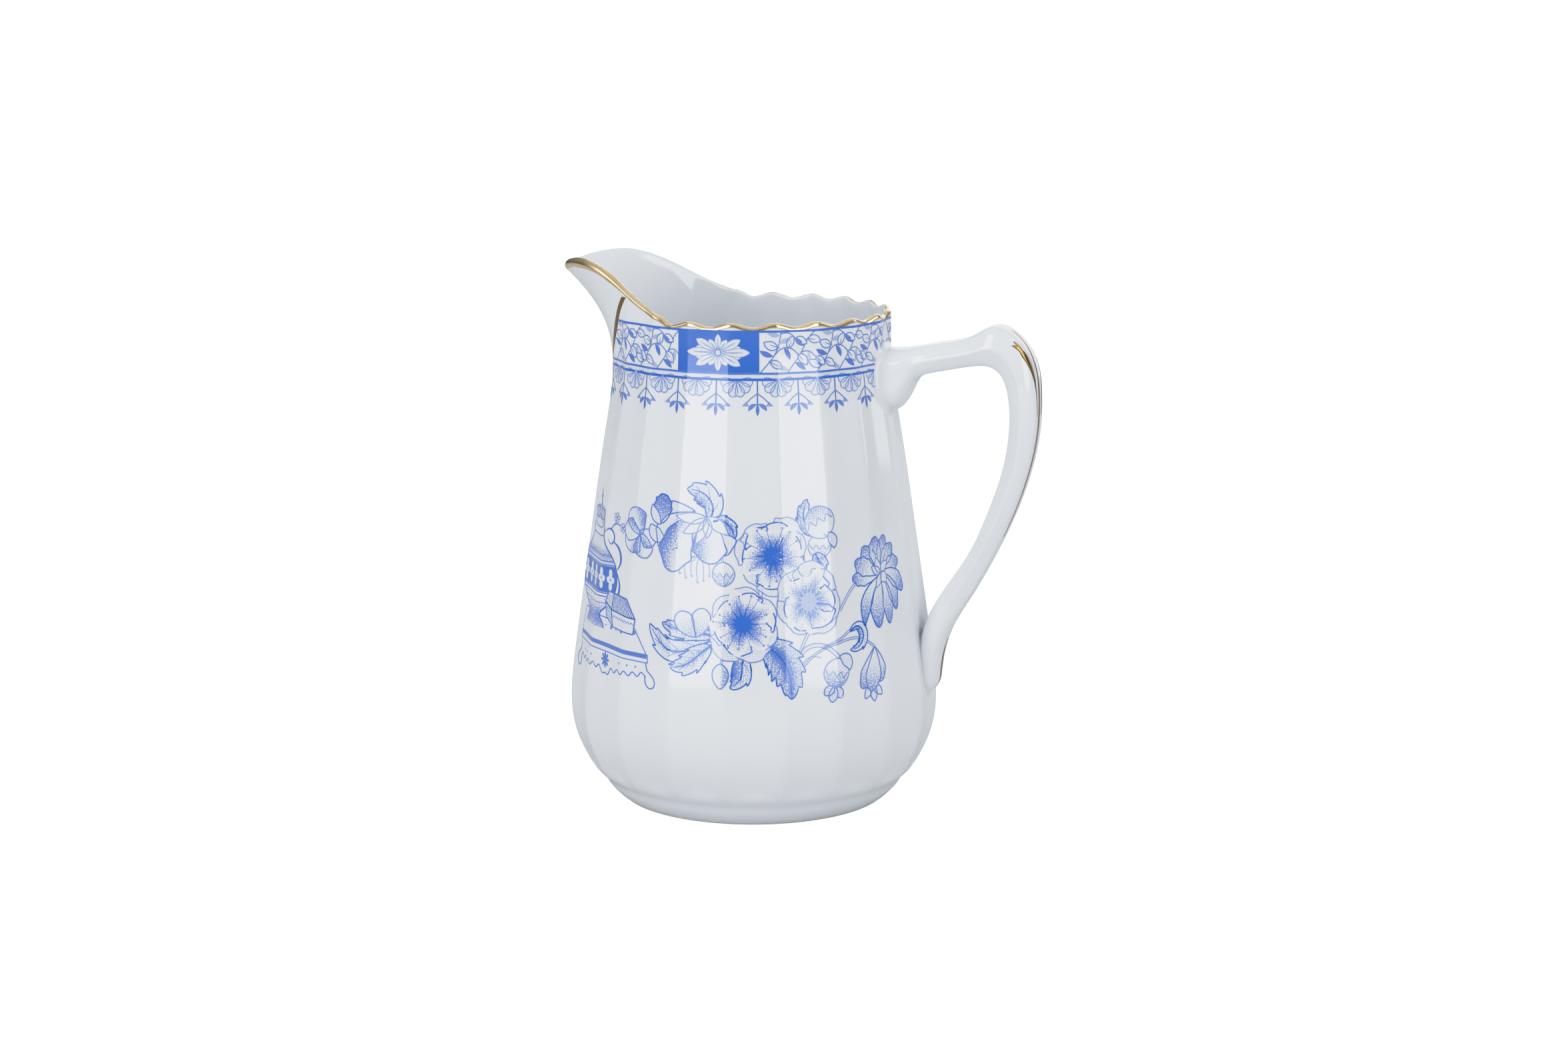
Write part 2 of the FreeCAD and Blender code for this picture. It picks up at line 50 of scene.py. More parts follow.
# ---------------------------------------------------------------- driving dimensions (mm)
RIM = 102.6                       # mean height of the scalloped rim
BELLY = 38.8                      # widest radius
FLUTES = 20
FLUTE_DEPTH = 0.55
SCALLOP = 0.45
WALL = 2.3
RIM_EDGE = 1.4
LIP_EDGE_THICKNESS = 2.3
EDGE_HEIGHT = 1.0
EDGE_BULGE = 0.8
FLOOR = 6.0
CORNER = 11.0
LIP_ROOT = 88.3
LIP_HALF = 72.0
LIP_FLARE_POWER = 2.06
RECESS_RADIUS = 25.6
RECESS_DEPTH = 2.2
RECESS_CORNER = 1.2               # rounding of the recess's roof
FOOT_ROUND = 0.4                  # rounding of the foot ring's two edges
PITCH = 360.0 / FLUTES
FRONT = -72.0                     # the decoration's middle line on the near side
HALF_TURN = 180.0

BODY_OUTLINE = [
    (0.000, 0.731), (0.008, 0.752), (0.034, 0.813), (0.043, 0.826), (0.058, 0.866), (0.087, 0.919),
    (0.126, 0.965), (0.175, 0.996), (0.233, 1.000), (0.311, 0.978), (0.524, 0.896), (0.757, 0.803),
    (0.854, 0.762), (0.903, 0.748), (0.951, 0.741), (1.000, 0.740), (1.120, 0.740),
]
LIP_EDGE = [
    (0, 8.7, 12.6), (10, 9.8, 10.7), (20, 10.5, 7.1), (30, 9.0, 3.3), (40, 6.4, 0.9),
    (50, 3.8, -0.3), (60, 1.8, -0.5), (72, 0.0, 0.0),
]
SEAM = [(91.2, 23.5), (95.4, 28.0), (98.6, 31.8), (101.5, 35.4), (103.8, 39.0), (106.6, 43.6)]
HANDLE_RIBS = [
    (28.2, 96.0, 28.2, 82.9, 6.4), (30.5, 95.9, 31.4, 83.2, 6.2), (33.0, 96.1, 33.7, 86.0, 5.7),
    (35.2, 96.5, 35.4, 89.2, 5.1), (38.6, 97.2, 38.8, 90.9, 4.7), (43.6, 98.1, 44.0, 92.0, 4.6),
    (47.6, 99.6, 48.2, 92.7, 4.7), (51.6, 101.5, 51.0, 92.5, 5.0), (56.3, 99.5, 53.0, 91.1, 5.1),
    (59.6, 94.7, 54.1, 88.9, 5.1), (60.9, 88.0, 54.8, 85.4, 5.0), (60.8, 80.0, 54.9, 80.0, 4.9),
    (59.2, 71.5, 53.8, 72.6, 4.7), (55.9, 61.8, 50.9, 63.6, 4.5), (51.0, 51.4, 46.4, 53.6, 4.3),
    (46.7, 43.7, 41.3, 45.9, 4.3), (43.4, 38.0, 38.0, 39.6, 4.5), (41.5, 32.5, 36.7, 33.5, 4.6),
    (40.9, 28.0, 36.7, 28.0, 4.2), (39.9, 25.0, 36.8, 25.0, 3.2), (38.2, 23.5, 37.0, 23.7, 1.7),
]
SECTION_POWER = 2.5


# ---------------------------------------------------------------- curves
def natural_spline(xs, ys):
    """Natural cubic spline through the points, for single values or arrays."""
    xs = np.asarray(xs, float)
    ys = np.asarray(ys, float)
    gaps = np.diff(xs)
    count = len(xs)
    system = np.eye(count)
    pull = np.zeros(count)
    for i in range(1, count - 1):
        system[i, i - 1:i + 2] = gaps[i - 1], 2.0 * (gaps[i - 1] + gaps[i]), gaps[i]
        pull[i] = 6.0 * ((ys[i + 1] - ys[i]) / gaps[i] - (ys[i] - ys[i - 1]) / gaps[i - 1])
    bend = np.linalg.solve(system, pull)

    def value(x):
        x = np.clip(x, xs[0], xs[-1])
        i = np.clip(np.searchsorted(xs, x) - 1, 0, count - 2)
        a = (xs[i + 1] - x) / gaps[i]
        b = (x - xs[i]) / gaps[i]
        curve = (a ** 3 - a) * bend[i] + (b ** 3 - b) * bend[i + 1]
        return a * ys[i] + b * ys[i + 1] + curve * gaps[i] ** 2 / 6.0

    return value


def mirrored_spline(points, column):
    half = [(p[0], p[column]) for p in points]
    whole = [(-a, v) for a, v in reversed(half[1:])] + half
    return natural_spline([p[0] for p in whole], [p[1] for p in whole])


def ramp(x, start, end):
    """Smooth step from 0 at start to 1 at end."""
    t = np.clip((np.asarray(x, float) - start) / (end - start), 0.0, 1.0)
    return t * t * (3.0 - 2.0 * t)


def smooth_path(points, count):
    """Points evenly spread in parameter on a natural spline through 2-D control points."""
    points = np.asarray(points, float)
    steps = np.hypot(*np.diff(points, axis=0).T)
    along = np.concatenate([[0.0], np.cumsum(steps)])
    where = np.linspace(0.0, along[-1], count)
    return np.stack([natural_spline(along, points[:, k])(where) for k in range(2)], 1)


outline_radius = natural_spline([p[0] * RIM for p in BODY_OUTLINE], [p[1] * BELLY for p in BODY_OUTLINE])
lip_rise = mirrored_spline(LIP_EDGE, 1)
lip_reach = mirrored_spline(LIP_EDGE, 2)
seam_angle = natural_spline([p[0] for p in SEAM], [p[1] for p in SEAM])


# ---------------------------------------------------------------- body surface
def from_lip(phi):
    return np.mod(phi, 360.0) - 180.0


def rim_top(phi):
    away = np.abs(from_lip(phi))
    waves = ramp(away, LIP_HALF - PITCH / 2.0, LIP_HALF)
    height = RIM - SCALLOP * np.cos(np.radians(FLUTES * phi)) * waves
    return height + np.where(away < LIP_HALF, lip_rise(from_lip(phi)), 0.0)


def flute_share(phi, height):
    crease_round = 0.12
    across = np.abs(np.mod(phi + PITCH / 2.0, PITCH) - PITCH / 2.0) / (PITCH / 2.0)
    inward = np.sqrt((1.0 - across) ** 2 + crease_round ** 2) - crease_round
    arch = 4.6 + 1.8 * (1.0 - across ** 2)
    depth = (2.0 * inward - inward ** 2) * ramp((height - arch) / 2.6, 0.0, 1.0)
    away = np.abs(from_lip(phi))
    under_lip = ramp(height, LIP_ROOT - 5.0, LIP_ROOT + 7.0) * (1.0 - ramp(away, 22.0, 40.0))
    beside_lip = ramp(height, RIM - 3.0, RIM + 4.0) * (away < LIP_HALF)
    return depth * (1.0 - under_lip) * (1.0 - beside_lip)


def wall_radius(phi, height, depth_share=1.0):
    depth = FLUTE_DEPTH / BELLY * flute_share(phi, height) * depth_share
    share = (height - LIP_ROOT) / (rim_top(phi) - EDGE_HEIGHT - LIP_ROOT)
    flare = lip_reach(from_lip(phi)) * np.maximum(share, 0.0) ** LIP_FLARE_POWER
    return outline_radius(height) * (1.0 - depth) + np.where(np.abs(from_lip(phi)) < LIP_HALF, flare, 0.0)


def wall_slope(phi, height):
    step = 0.2
    return (wall_radius(phi, height + step) - wall_radius(phi, height - step)) / (2.0 * step)


def polar(phi, radius, height):
    turn = np.radians(phi)
    return np.stack([radius * np.cos(turn), radius * np.sin(turn), height + 0.0 * turn], -1)


def on_wall(phi, height, lift=0.0):
    slope = wall_slope(phi, height)
    length = np.sqrt(1.0 + slope * slope)
    return polar(phi, wall_radius(phi, height) + lift / length, height - lift * slope / length)


def wall_normal(phi, height):
    """Outward unit normal of the outside wall."""
    along = on_wall(phi + 0.15, height) - on_wall(phi - 0.15, height)
    up = on_wall(phi, height + 0.1) - on_wall(phi, height - 0.1)
    normal = np.cross(along, up)
    return normal / np.linalg.norm(normal, axis=-1, keepdims=True)


def edge_thickness(phi):
    return RIM_EDGE + (LIP_EDGE_THICKNESS - RIM_EDGE) * (1.0 - ramp(np.abs(from_lip(phi)), 15.0, 50.0))


def wall_top(phi):
    slope = wall_slope(phi, rim_top(phi))
    half = edge_thickness(phi) / 2.0
    return rim_top(phi) - half * (EDGE_BULGE + np.maximum(slope, 0.0)) / np.sqrt(1.0 + slope * slope)


def inner_point(phi, height):
    slope = wall_slope(phi, height)
    length = np.sqrt(1.0 + slope * slope)
    across = ramp(height, 60.0, 80.0)
    belly = WALL * (1.0 + 0.35 * (1.0 - ramp(height, 20.0, 60.0)))
    thickness = belly + (edge_thickness(phi) - belly) * ramp(height, 76.0, 98.0)
    smooth = wall_radius(phi, height, 0.55)
    top = wall_top(phi)
    smooth = smooth + (wall_radius(phi, height) - smooth) * ramp(height - top, -6.0, 0.0)
    radius = smooth - thickness * ((1.0 - across) * length + across / length)
    level = height + thickness * across * slope / length
    below = np.maximum(FLOOR + CORNER - level, 0.0)
    radius = radius - np.where(below > 0.0, CORNER - np.sqrt(np.maximum(CORNER ** 2 - below ** 2, 0.0)), 0.0)
    return polar(phi, radius, level)


def edge_arc(phi, lift, shares):
    """Rounded edge of the rim, a row of points for each share; a share is 0 outside and 1 inside."""
    outer = on_wall(phi, wall_top(phi))
    inner = inner_point(phi, wall_top(phi))
    middle = (outer + inner) * 0.5
    half = (outer - inner) * 0.5
    reach = np.linalg.norm(half, axis=1, keepdims=True)
    out = half / reach
    turn = np.radians(phi)
    ring = np.stack([-np.sin(turn), np.cos(turn), 0.0 * turn], 1)
    up = np.cross(out, ring)
    up *= np.sign(up[:, 2:3])
    rows = []
    for share in shares:
        angle = math.pi * np.broadcast_to(share, phi.shape)[:, None]
        rows.append(middle + out * (reach + lift) * np.cos(angle)
                    + up * (EDGE_BULGE * reach + lift) * np.sin(angle))
    return rows


# ---------------------------------------------------------------- meshes
def mesh_piece(name, points, faces, materials, slot, replaces=(), material_of=None):
    """Smooth mesh from millimetres; material_of gives each face's place in the list of materials."""
    mesh = bpy.data.meshes.new(name)
    mesh.from_pydata((np.asarray(points) * MM).tolist(), [], faces)
    mesh.shade_smooth()
    for material in materials:
        mesh.materials.append(material)
    if material_of is not None:
        mesh.polygons.foreach_set("material_index", material_of)
    mesh.update()
    piece = bpy.data.objects.new(name, mesh)
    bpy.context.scene.collection.objects.link(piece)
    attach(piece, "root")
    if replaces:
        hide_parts(*replaces)
    return piece


def grid_faces(rows, columns, closed=False, start=0):
    """Quads over rows x columns points, numbered row by row."""
    faces = []
    around = columns if closed else columns - 1
    for i in range(rows - 1):
        for j in range(around):
            k = (j + 1) % columns
            a = start + i * columns
            faces.append((a + j, a + k, a + columns + k, a + columns + j))
    return faces


def tube_faces(rows, columns):
    """A closed tube of rows with a fan to one more point at each end."""
    faces = grid_faces(rows, columns, closed=True)
    first = rows * columns
    last = first + 1
    for j in range(columns):
        k = (j + 1) % columns
        faces.append((first, k, j))
        faces.append((last, (rows - 1) * columns + j, (rows - 1) * columns + k))
    return faces


# ---------------------------------------------------------------- materials
def new_material(name):
    material = bpy.data.materials.new(name)
    material.use_nodes = True
    tree = material.node_tree
    return material, tree, tree.nodes["Principled BSDF"]


def add_node(tree, kind, **values):
    """Node with its inputs set by name, or by number where the name starts with 'in_'."""
    node = tree.nodes.new(kind)
    for key, value in values.items():
        if key.startswith("in_"):
            node.inputs[int(key[3:])].default_value = value
        elif hasattr(node, key):
            setattr(node, key, value)
        else:
            node.inputs[key].default_value = value
    return node


def link(tree, source, output, target, entry):
    tree.links.new(source.outputs[output], target.inputs[entry])


def math_node(tree, operation, first, second, clamp=False):
    node = tree.nodes.new("ShaderNodeMath")
    node.operation = operation
    node.use_clamp = clamp
    for place, value in ((0, first), (1, second)):
        if isinstance(value, (int, float)):
            node.inputs[place].default_value = value
        else:
            tree.links.new(value, node.inputs[place])
    return node.outputs[0]


def glaze_finish(tree, shader, roughness, wobble):
    """Glossy glaze: slow ripples, as fired glaze pools, and a slightly uneven polish."""
    shader.inputs["Specular IOR Level"].default_value = 0.5
    shader.inputs["IOR"].default_value = 1.52
    where = add_node(tree, "ShaderNodeTexCoord")
    ripple = add_node(tree, "ShaderNodeTexNoise", Scale=95.0, Detail=1.0)
    link(tree, where, "Object", ripple, "Vector")
    bump = add_node(tree, "ShaderNodeBump", Strength=wobble, Distance=0.0002)
    link(tree, ripple, "Fac", bump, "Height")
    link(tree, bump, "Normal", shader, "Normal")
    polish = add_node(tree, "ShaderNodeTexNoise", Scale=420.0, Detail=3.0)
    link(tree, where, "Object", polish, "Vector")
    spread = add_node(tree, "ShaderNodeMapRange", in_3=roughness * 0.8, in_4=roughness * 1.3)
    link(tree, polish, "Fac", spread, "Value")
    link(tree, spread, "Result", shader, "Roughness")
    return where


PORCELAIN = (0.815, 0.832, 0.85)
COBALT = (0.046, 0.165, 0.60)


def glaze_colour(tree, where):
    """Porcelain white under glaze, faintly warmer and cooler in clouds."""
    cloud = add_node(tree, "ShaderNodeTexNoise", Scale=28.0, Detail=2.0)
    link(tree, where, "Object", cloud, "Vector")
    tint = add_node(tree, "ShaderNodeMix", data_type="RGBA", in_6=(*[c * 0.985 for c in PORCELAIN], 1.0),
                    in_7=(*[min(c * 1.012, 1.0) for c in PORCELAIN], 1.0))
    link(tree, cloud, "Fac", tint, 0)
    return tint.outputs[2]


def make_porcelain():
    material, tree, shader = new_material("porcelain_glaze")
    where = glaze_finish(tree, shader, 0.075, 0.10)
    tree.links.new(glaze_colour(tree, where), shader.inputs["Base Color"])
    return material


def make_bisque():
    """Unglazed ring that the jug stands on: matt, very slightly grainy and grey."""
    material, tree, shader = new_material("bare_foot")
    where = add_node(tree, "ShaderNodeTexCoord")
    grain = add_node(tree, "ShaderNodeTexNoise", Scale=1500.0, Detail=4.0)
    link(tree, where, "Object", grain, "Vector")
    tint = add_node(tree, "ShaderNodeMix", data_type="RGBA", in_6=(0.60, 0.59, 0.56, 1.0),
                    in_7=(0.74, 0.73, 0.70, 1.0))
    link(tree, grain, "Fac", tint, 0)
    tree.links.new(tint.outputs[2], shader.inputs["Base Color"])
    bump = add_node(tree, "ShaderNodeBump", Strength=0.3, Distance=0.0001)
    link(tree, grain, "Fac", bump, "Height")
    link(tree, bump, "Normal", shader, "Normal")
    shader.inputs["Roughness"].default_value = 0.62
    return material


def make_print():
    """Cobalt print under glaze: 'tone' is solid ink, 'shade' is stippled ink that thins to bare glaze."""
    material, tree, shader = new_material("cobalt_print")
    where = glaze_finish(tree, shader, 0.075, 0.10)
    shade = add_node(tree, "ShaderNodeAttribute", attribute_name="shade").outputs["Fac"]
    tone = add_node(tree, "ShaderNodeAttribute", attribute_name="tone").outputs["Fac"]
    flat = add_node(tree, "ShaderNodeUVMap", uv_map="flat")
    dots = add_node(tree, "ShaderNodeTexVoronoi", Scale=1.0, Randomness=0.55)
    dots.voronoi_dimensions = "2D"
    link(tree, flat, "UV", dots, "Vector")
    reach = math_node(tree, "MULTIPLY", math_node(tree, "POWER", shade, 0.5), 0.80)
    inside = math_node(tree, "SUBTRACT", reach, dots.outputs["Distance"])
    covered = math_node(tree, "MULTIPLY", inside, 7.0, clamp=True)
    strength = math_node(tree, "ADD", math_node(tree, "MULTIPLY", shade, 0.35), 0.55)
    stipple = math_node(tree, "MULTIPLY", covered, strength)
    ink = math_node(tree, "MAXIMUM", stipple, tone)
    mix = add_node(tree, "ShaderNodeMix", data_type="RGBA", in_7=(*COBALT, 1.0))
    tree.links.new(ink, mix.inputs[0])
    tree.links.new(glaze_colour(tree, where), mix.inputs[6])
    tree.links.new(mix.outputs[2], shader.inputs["Base Color"])
    return material


def make_gold(name, thin_gold_and_shade, thick_gold_and_shade):
    """Burnished gold: brushed unevenly, thinner and browner in places; the darker copy of it also has painted
    shade in both its colours.
    """
    material, tree, shader = new_material(name)
    where = add_node(tree, "ShaderNodeTexCoord")
    patches = add_node(tree, "ShaderNodeTexNoise", Scale=260.0, Detail=3.0)
    link(tree, where, "Object", patches, "Vector")
    tint = add_node(tree, "ShaderNodeMix", data_type="RGBA", in_6=(*thin_gold_and_shade, 1.0), in_7=(*thick_gold_and_shade, 1.0))
    link(tree, patches, "Fac", tint, 0)
    tree.links.new(tint.outputs[2], shader.inputs["Base Color"])
    spread = add_node(tree, "ShaderNodeMapRange", in_3=0.10, in_4=0.30)
    link(tree, patches, "Fac", spread, "Value")
    link(tree, spread, "Result", shader, "Roughness")
    bump = add_node(tree, "ShaderNodeBump", Strength=0.25, Distance=0.0001)
    link(tree, patches, "Fac", bump, "Height")
    link(tree, bump, "Normal", shader, "Normal")
    shader.inputs["Metallic"].default_value = 1.0
    return material


porcelain = make_porcelain()
bisque = make_bisque()
cobalt = make_print()
gold = make_gold("burnished_gold", (0.74, 0.50, 0.22), (1.0, 0.84, 0.55))
# Painted shade: the rim's gold again, darkened almost to black and brown, so that the lip's seams and the
# strokes on the handle read brown.
shade_darkened_gold = make_gold("gold_darkened_by_painted_shade", (0.085, 0.05, 0.02), (0.42, 0.28, 0.11))


# ---------------------------------------------------------------- body
FLUTE_STEPS = (0.0, 1.5, 3.0, 4.4, 5.6, 6.6, 7.4, 8.1, 8.6)


def body_angles():
    """Angles round the body, closer together at the creases between the flutes."""
    one = sorted({-s for s in FLUTE_STEPS} | set(FLUTE_STEPS)) + [PITCH / 2.0]
    return np.array([k * PITCH + step for k in range(FLUTES) for step in one])


def eased(count, ends):
    """Shares from 0 to 1, crowding towards both ends by the share ends."""
    t = np.linspace(0.0, 1.0, count)
    return (1.0 - ends) * t + ends * 0.5 * (1.0 - np.cos(math.pi * t))


def build_body():
    phi = body_angles()
    foot = float(outline_radius(0.0))
    rows = []
    matt = []

    def ring(radius, height, bare=False):
        rows.append(polar(phi, radius + 0.0 * phi, height + 0.0 * phi))
        matt.append(bare)

    for radius in (2.0, 8.0, 14.0, 19.0, 22.0, 23.6):
        ring(radius, RECESS_DEPTH)
    for k in range(1, 6):
        angle = math.pi / 2.0 * k / 5
        ring(RECESS_RADIUS - RECESS_CORNER + RECESS_CORNER * math.sin(angle),
             RECESS_DEPTH - RECESS_CORNER + RECESS_CORNER * math.cos(angle))
    ring(RECESS_RADIUS, FOOT_ROUND)
    for k in range(1, 4):
        angle = math.pi / 2.0 * k / 3
        ring(RECESS_RADIUS + FOOT_ROUND * (1.0 - math.cos(angle)), FOOT_ROUND * (1.0 - math.sin(angle)), True)
    for share in (0.33, 0.66):
        ring(RECESS_RADIUS + FOOT_ROUND + share * (foot - RECESS_RADIUS - 2.0 * FOOT_ROUND), 0.0, True)
    for k in range(4):
        angle = math.pi / 2.0 * k / 3
        ring(foot - FOOT_ROUND + FOOT_ROUND * math.sin(angle), FOOT_ROUND * (1.0 - math.cos(angle)), True)
    top = wall_top(phi)
    for share in eased(112, 0.45)[1:]:
        rows.append(on_wall(phi, FOOT_ROUND + share * (top - FOOT_ROUND)))
        matt.append(False)
    for row in edge_arc(phi, 0.0, np.linspace(0.0, 1.0, 11)[1:]):
        rows.append(row)
        matt.append(False)
    for share in eased(74, 0.5)[1:]:
        row = inner_point(phi, top - share * (top - FLOOR))
        if share == 1.0:
            row[:, 2] = FLOOR
        rows.append(row)
        matt.append(False)
    last = rows[-1]
    for share in (0.9, 0.75, 0.58, 0.4, 0.22, 0.08):
        rows.append(last * np.array([share, share, 1.0]))
        matt.append(False)
    points = np.concatenate(rows + [np.array([[0.0, 0.0, RECESS_DEPTH], [0.0, 0.0, FLOOR]])])
    faces = [face[::-1] for face in tube_faces(len(rows), len(phi))]
    kinds = [int(matt[i] and matt[i + 1]) for i in range(len(rows) - 1) for _ in phi]
    kinds += [0] * (len(faces) - len(kinds))
    return mesh_piece("glazed_body", points, faces, [porcelain, bisque], "porcelain", ["body"], kinds)


# ---------------------------------------------------------------- handle
RIB_MIDDLES = [((r[0] + r[2]) / 2.0, (r[1] + r[3]) / 2.0) for r in HANDLE_RIBS]
RIB_GAPS = [math.dist(a, b) for a, b in zip(RIB_MIDDLES, RIB_MIDDLES[1:])]
RIB_ALONG = np.concatenate([[0.0], np.cumsum(RIB_GAPS)])
RIB_TRACKS = [natural_spline(RIB_ALONG, [r[k] for r in HANDLE_RIBS]) for k in range(5)]
HANDLE_LENGTH = float(RIB_ALONG[-1])
RIDGES = ((36.0, 0.42), (90.0, 0.50), (144.0, 0.34))       # degrees from the spine, height in mm
RIDGE_SPREAD = 13.0               # degrees
RIDGE_GROOVE = 0.24               # depth between the ridges
SECTION_ANGLES = np.arange(0.0, 360.0, 4.5)
ROOT_RADIUS = 34.0                # of the wall at the handle's roots, near enough to flatten it there


def rib_distance(rib):
    base = min(int(rib), len(RIB_ALONG) - 2)
    return float(RIB_ALONG[base] + (rib - base) * (RIB_ALONG[base + 1] - RIB_ALONG[base]))


def on_handle(distance, angle, lift=0.0):
    """Point on the handle, with the soft moulded ridges that run along it."""
    distance, angle = np.broadcast_arrays(np.asarray(distance, float), np.asarray(angle, float))
    outer_x, outer_z, inner_x, inner_z, half_width = [track(distance) for track in RIB_TRACKS]
    middle_x = (outer_x + inner_x) / 2.0
    middle_z = (outer_z + inner_z) / 2.0
    out_x = outer_x - middle_x
    out_z = outer_z - middle_z
    reach = np.hypot(out_x, out_z)
    c = np.cos(np.radians(angle))
    s = np.sin(np.radians(angle))
    size = (np.abs(c) ** SECTION_POWER + np.abs(s) ** SECTION_POWER) ** (-1.0 / SECTION_POWER)
    side = np.abs(np.mod(angle + 180.0, 360.0) - 180.0)
    fade = ramp(distance, 4.0, 12.0) * (1.0 - ramp(distance, HANDLE_LENGTH - 26.0, HANDLE_LENGTH - 10.0))
    proud = -RIDGE_GROOVE * fade
    for place, height in RIDGES:
        proud = proud + height * fade * np.exp(-np.abs((side - place) / RIDGE_SPREAD) ** 1.5)
    in_plane = (reach + lift + proud) * size * c
    across = (half_width + lift + proud) * size * s
    return np.stack([middle_x + out_x / reach * in_plane, -across, middle_z + out_z / reach * in_plane], -1)


def build_handle():
    distances = np.linspace(0.0, HANDLE_LENGTH, 230)
    grid = on_handle(distances[:, None], SECTION_ANGLES[None, :])
    ends = [grid[0].mean(0), grid[-1].mean(0)]
    points = np.concatenate([grid.reshape(-1, 3), np.array(ends)])
    faces = tube_faces(len(distances), len(SECTION_ANGLES))
    return mesh_piece("glazed_handle", points, faces, [porcelain], "porcelain", ["handle"])


def wall_gap(points):
    """How far points stand off the outside wall, in mm."""
    phi = np.degrees(np.arctan2(points[..., 1], points[..., 0]))
    return np.hypot(points[..., 0], points[..., 1]) - wall_radius(phi, points[..., 2])


def meeting_distance(angle, first, last):
    """Distance along the handle at which it leaves the wall, between two distances."""
    inside = first
    outside = last
    for _ in range(40):
        middle = (inside + outside) / 2.0
        gap = float(wall_gap(on_handle(middle, angle)))
        if gap < 0.0:
            inside = middle
        else:
            outside = middle
    return (inside + outside) / 2.0


def build_fillet(name, node, first, last, on_arm, on_body):
    """Luting slip wiped into a smooth hollow between the handle and the wall."""
    sign = 1.0 if last > first else -1.0
    angles = SECTION_ANGLES
    where = np.array([meeting_distance(a, first, last) for a in angles])
    corner = on_handle(where, angles)
    arm = on_handle(where + sign * on_arm, angles, -0.04)
    phi = np.degrees(np.arctan2(corner[:, 1], corner[:, 0]))
    flat = np.stack([np.radians(phi) * ROOT_RADIUS, corner[:, 2]], 1)
    centre = flat.mean(0)
    away = flat - centre
    away /= np.linalg.norm(away, axis=1, keepdims=True)
    foot = flat + away * on_body
    wall = on_wall(np.degrees(foot[:, 0] / ROOT_RADIUS), foot[:, 1], -0.03)
    rows = []
    for t in np.linspace(0.0, 1.0, 13):
        rows.append((1.0 - t) ** 2 * arm + 2.0 * t * (1.0 - t) * corner + t ** 2 * wall)
    under = [row + (corner - row) * 0.35 for row in rows[::-1][1:-1]]
    points = np.concatenate(rows + under)
    total = len(rows) + len(under)
    faces = grid_faces(total, len(angles), closed=True)
    for j in range(len(angles)):
        k = (j + 1) % len(angles)
        a = (total - 1) * len(angles)
        faces.append((a + j, a + k, k, j))
    if sign < 0.0:
        faces = [face[::-1] for face in faces]
    return mesh_piece(name, points, faces, [porcelain], "luting_slip", [node])


# ---------------------------------------------------------------- gilding
GOLD_LIFT = 0.05                  # of the gold off the glaze
GOLD_DROP = 0.30                  # how far the rim's gold comes down outside
GOLD_REACH = 0.60                 # share of the rounded edge that the rim's gold covers


def uneven(x, seed, pitch=7.0):
    """Slow hand-drawn waver between -1 and 1."""
    rng = random.Random(seed)
    total = 0.0
    for k in range(1, 5):
        total = total + np.sin(np.asarray(x) * k * 6.2832 / pitch + rng.uniform(0.0, 6.28)) / k
    return total / 2.0


def build_rim_gilding():
    phi = body_angles()
    top = wall_top(phi)
    waver = np.radians(phi) * 28.0
    low = top - GOLD_DROP - 0.07 * uneven(waver, 3)
    end = GOLD_REACH + 0.08 * uneven(waver, 4)
    rows = [on_wall(phi, low, -0.02)]
    rows += [on_wall(phi, height, GOLD_LIFT) for height in (low, (low + top) / 2.0)]
    rows += edge_arc(phi, GOLD_LIFT, [end * share for share in np.linspace(0.0, 1.0, 10)])
    rows += edge_arc(phi, -0.03, [end])
    points = np.concatenate(rows)
    faces = [face[::-1] for face in grid_faces(len(rows), len(phi), closed=True)]
    return mesh_piece("gilt_rim", points, faces, [gold], "gold", ["rim_gilding"])


def raised_strip(lines, edge_lines):
    """Points and faces of a thin raised stroke: lines run lengthwise, edge lines are sunk under its sides."""
    rows = [edge_lines[0]] + lines + [edge_lines[1]]
    return np.concatenate(rows), grid_faces(len(rows), len(lines[0]))


def build_seam(name, node, side):
    t = np.linspace(0.0, 1.0, 60)
    low = SEAM[0][0] - 2.2
    height = low + (SEAM[-1][0] - low) * t
    below = np.minimum(height - SEAM[0][0], 0.0)
    middle = seam_angle(height) + below * 1.05
    half = 0.12 + 1.25 * ramp(t, 0.02, 0.6) + 0.06 * uneven(height, 11)
    lines = []
    for share in (-1.0, -0.6, 0.0, 0.6, 1.0):
        lift = GOLD_LIFT + 0.03 * (1.0 - share * share)
        lines.append(on_wall(180.0 + side * (middle + half * share), height, lift))
    edges = [on_wall(180.0 + side * (middle + half * share * 1.05), height, -0.01) for share in (-1.0, 1.0)]
    points, faces = raised_strip(lines, edges)
    if side < 0:
        faces = [face[::-1] for face in faces]
    # The seam's gold is the darkened copy, with painted shade in its colour.
    return mesh_piece(name, points, faces, [shade_darkened_gold], "gold", [node])


def handle_stroke(start, end, centre, half_width, count=70):
    """One brush stroke along the handle, as points and faces."""
    t = np.linspace(0.0, 1.0, count)
    distance = rib_distance(start) + (rib_distance(end) - rib_distance(start)) * t
    lines = []
    for share in (-1.0, -0.6, 0.0, 0.6, 1.0):
        lift = 0.04 + 0.03 * (1.0 - share * share)
        lines.append(on_handle(distance, centre(t) + half_width(t) * share, lift))
    edges = [on_handle(distance, centre(t) + half_width(t) * share * 1.05, -0.02) for share in (-1.0, 1.0)]
    return raised_strip(lines, edges)


def joined(parts):
    points = []
    faces = []
    for part_points, part_faces in parts:
        start = sum(len(p) for p in points)
        points.append(part_points)
        faces += [tuple(start + v for v in face) for face in part_faces]
    return np.concatenate(points), faces


def swelling(t):
    """Half width in degrees of a stroke that starts and ends in a point."""
    return 0.4 + 8.6 * np.sin(math.pi * np.clip(t, 0.0, 1.0)) ** 0.6


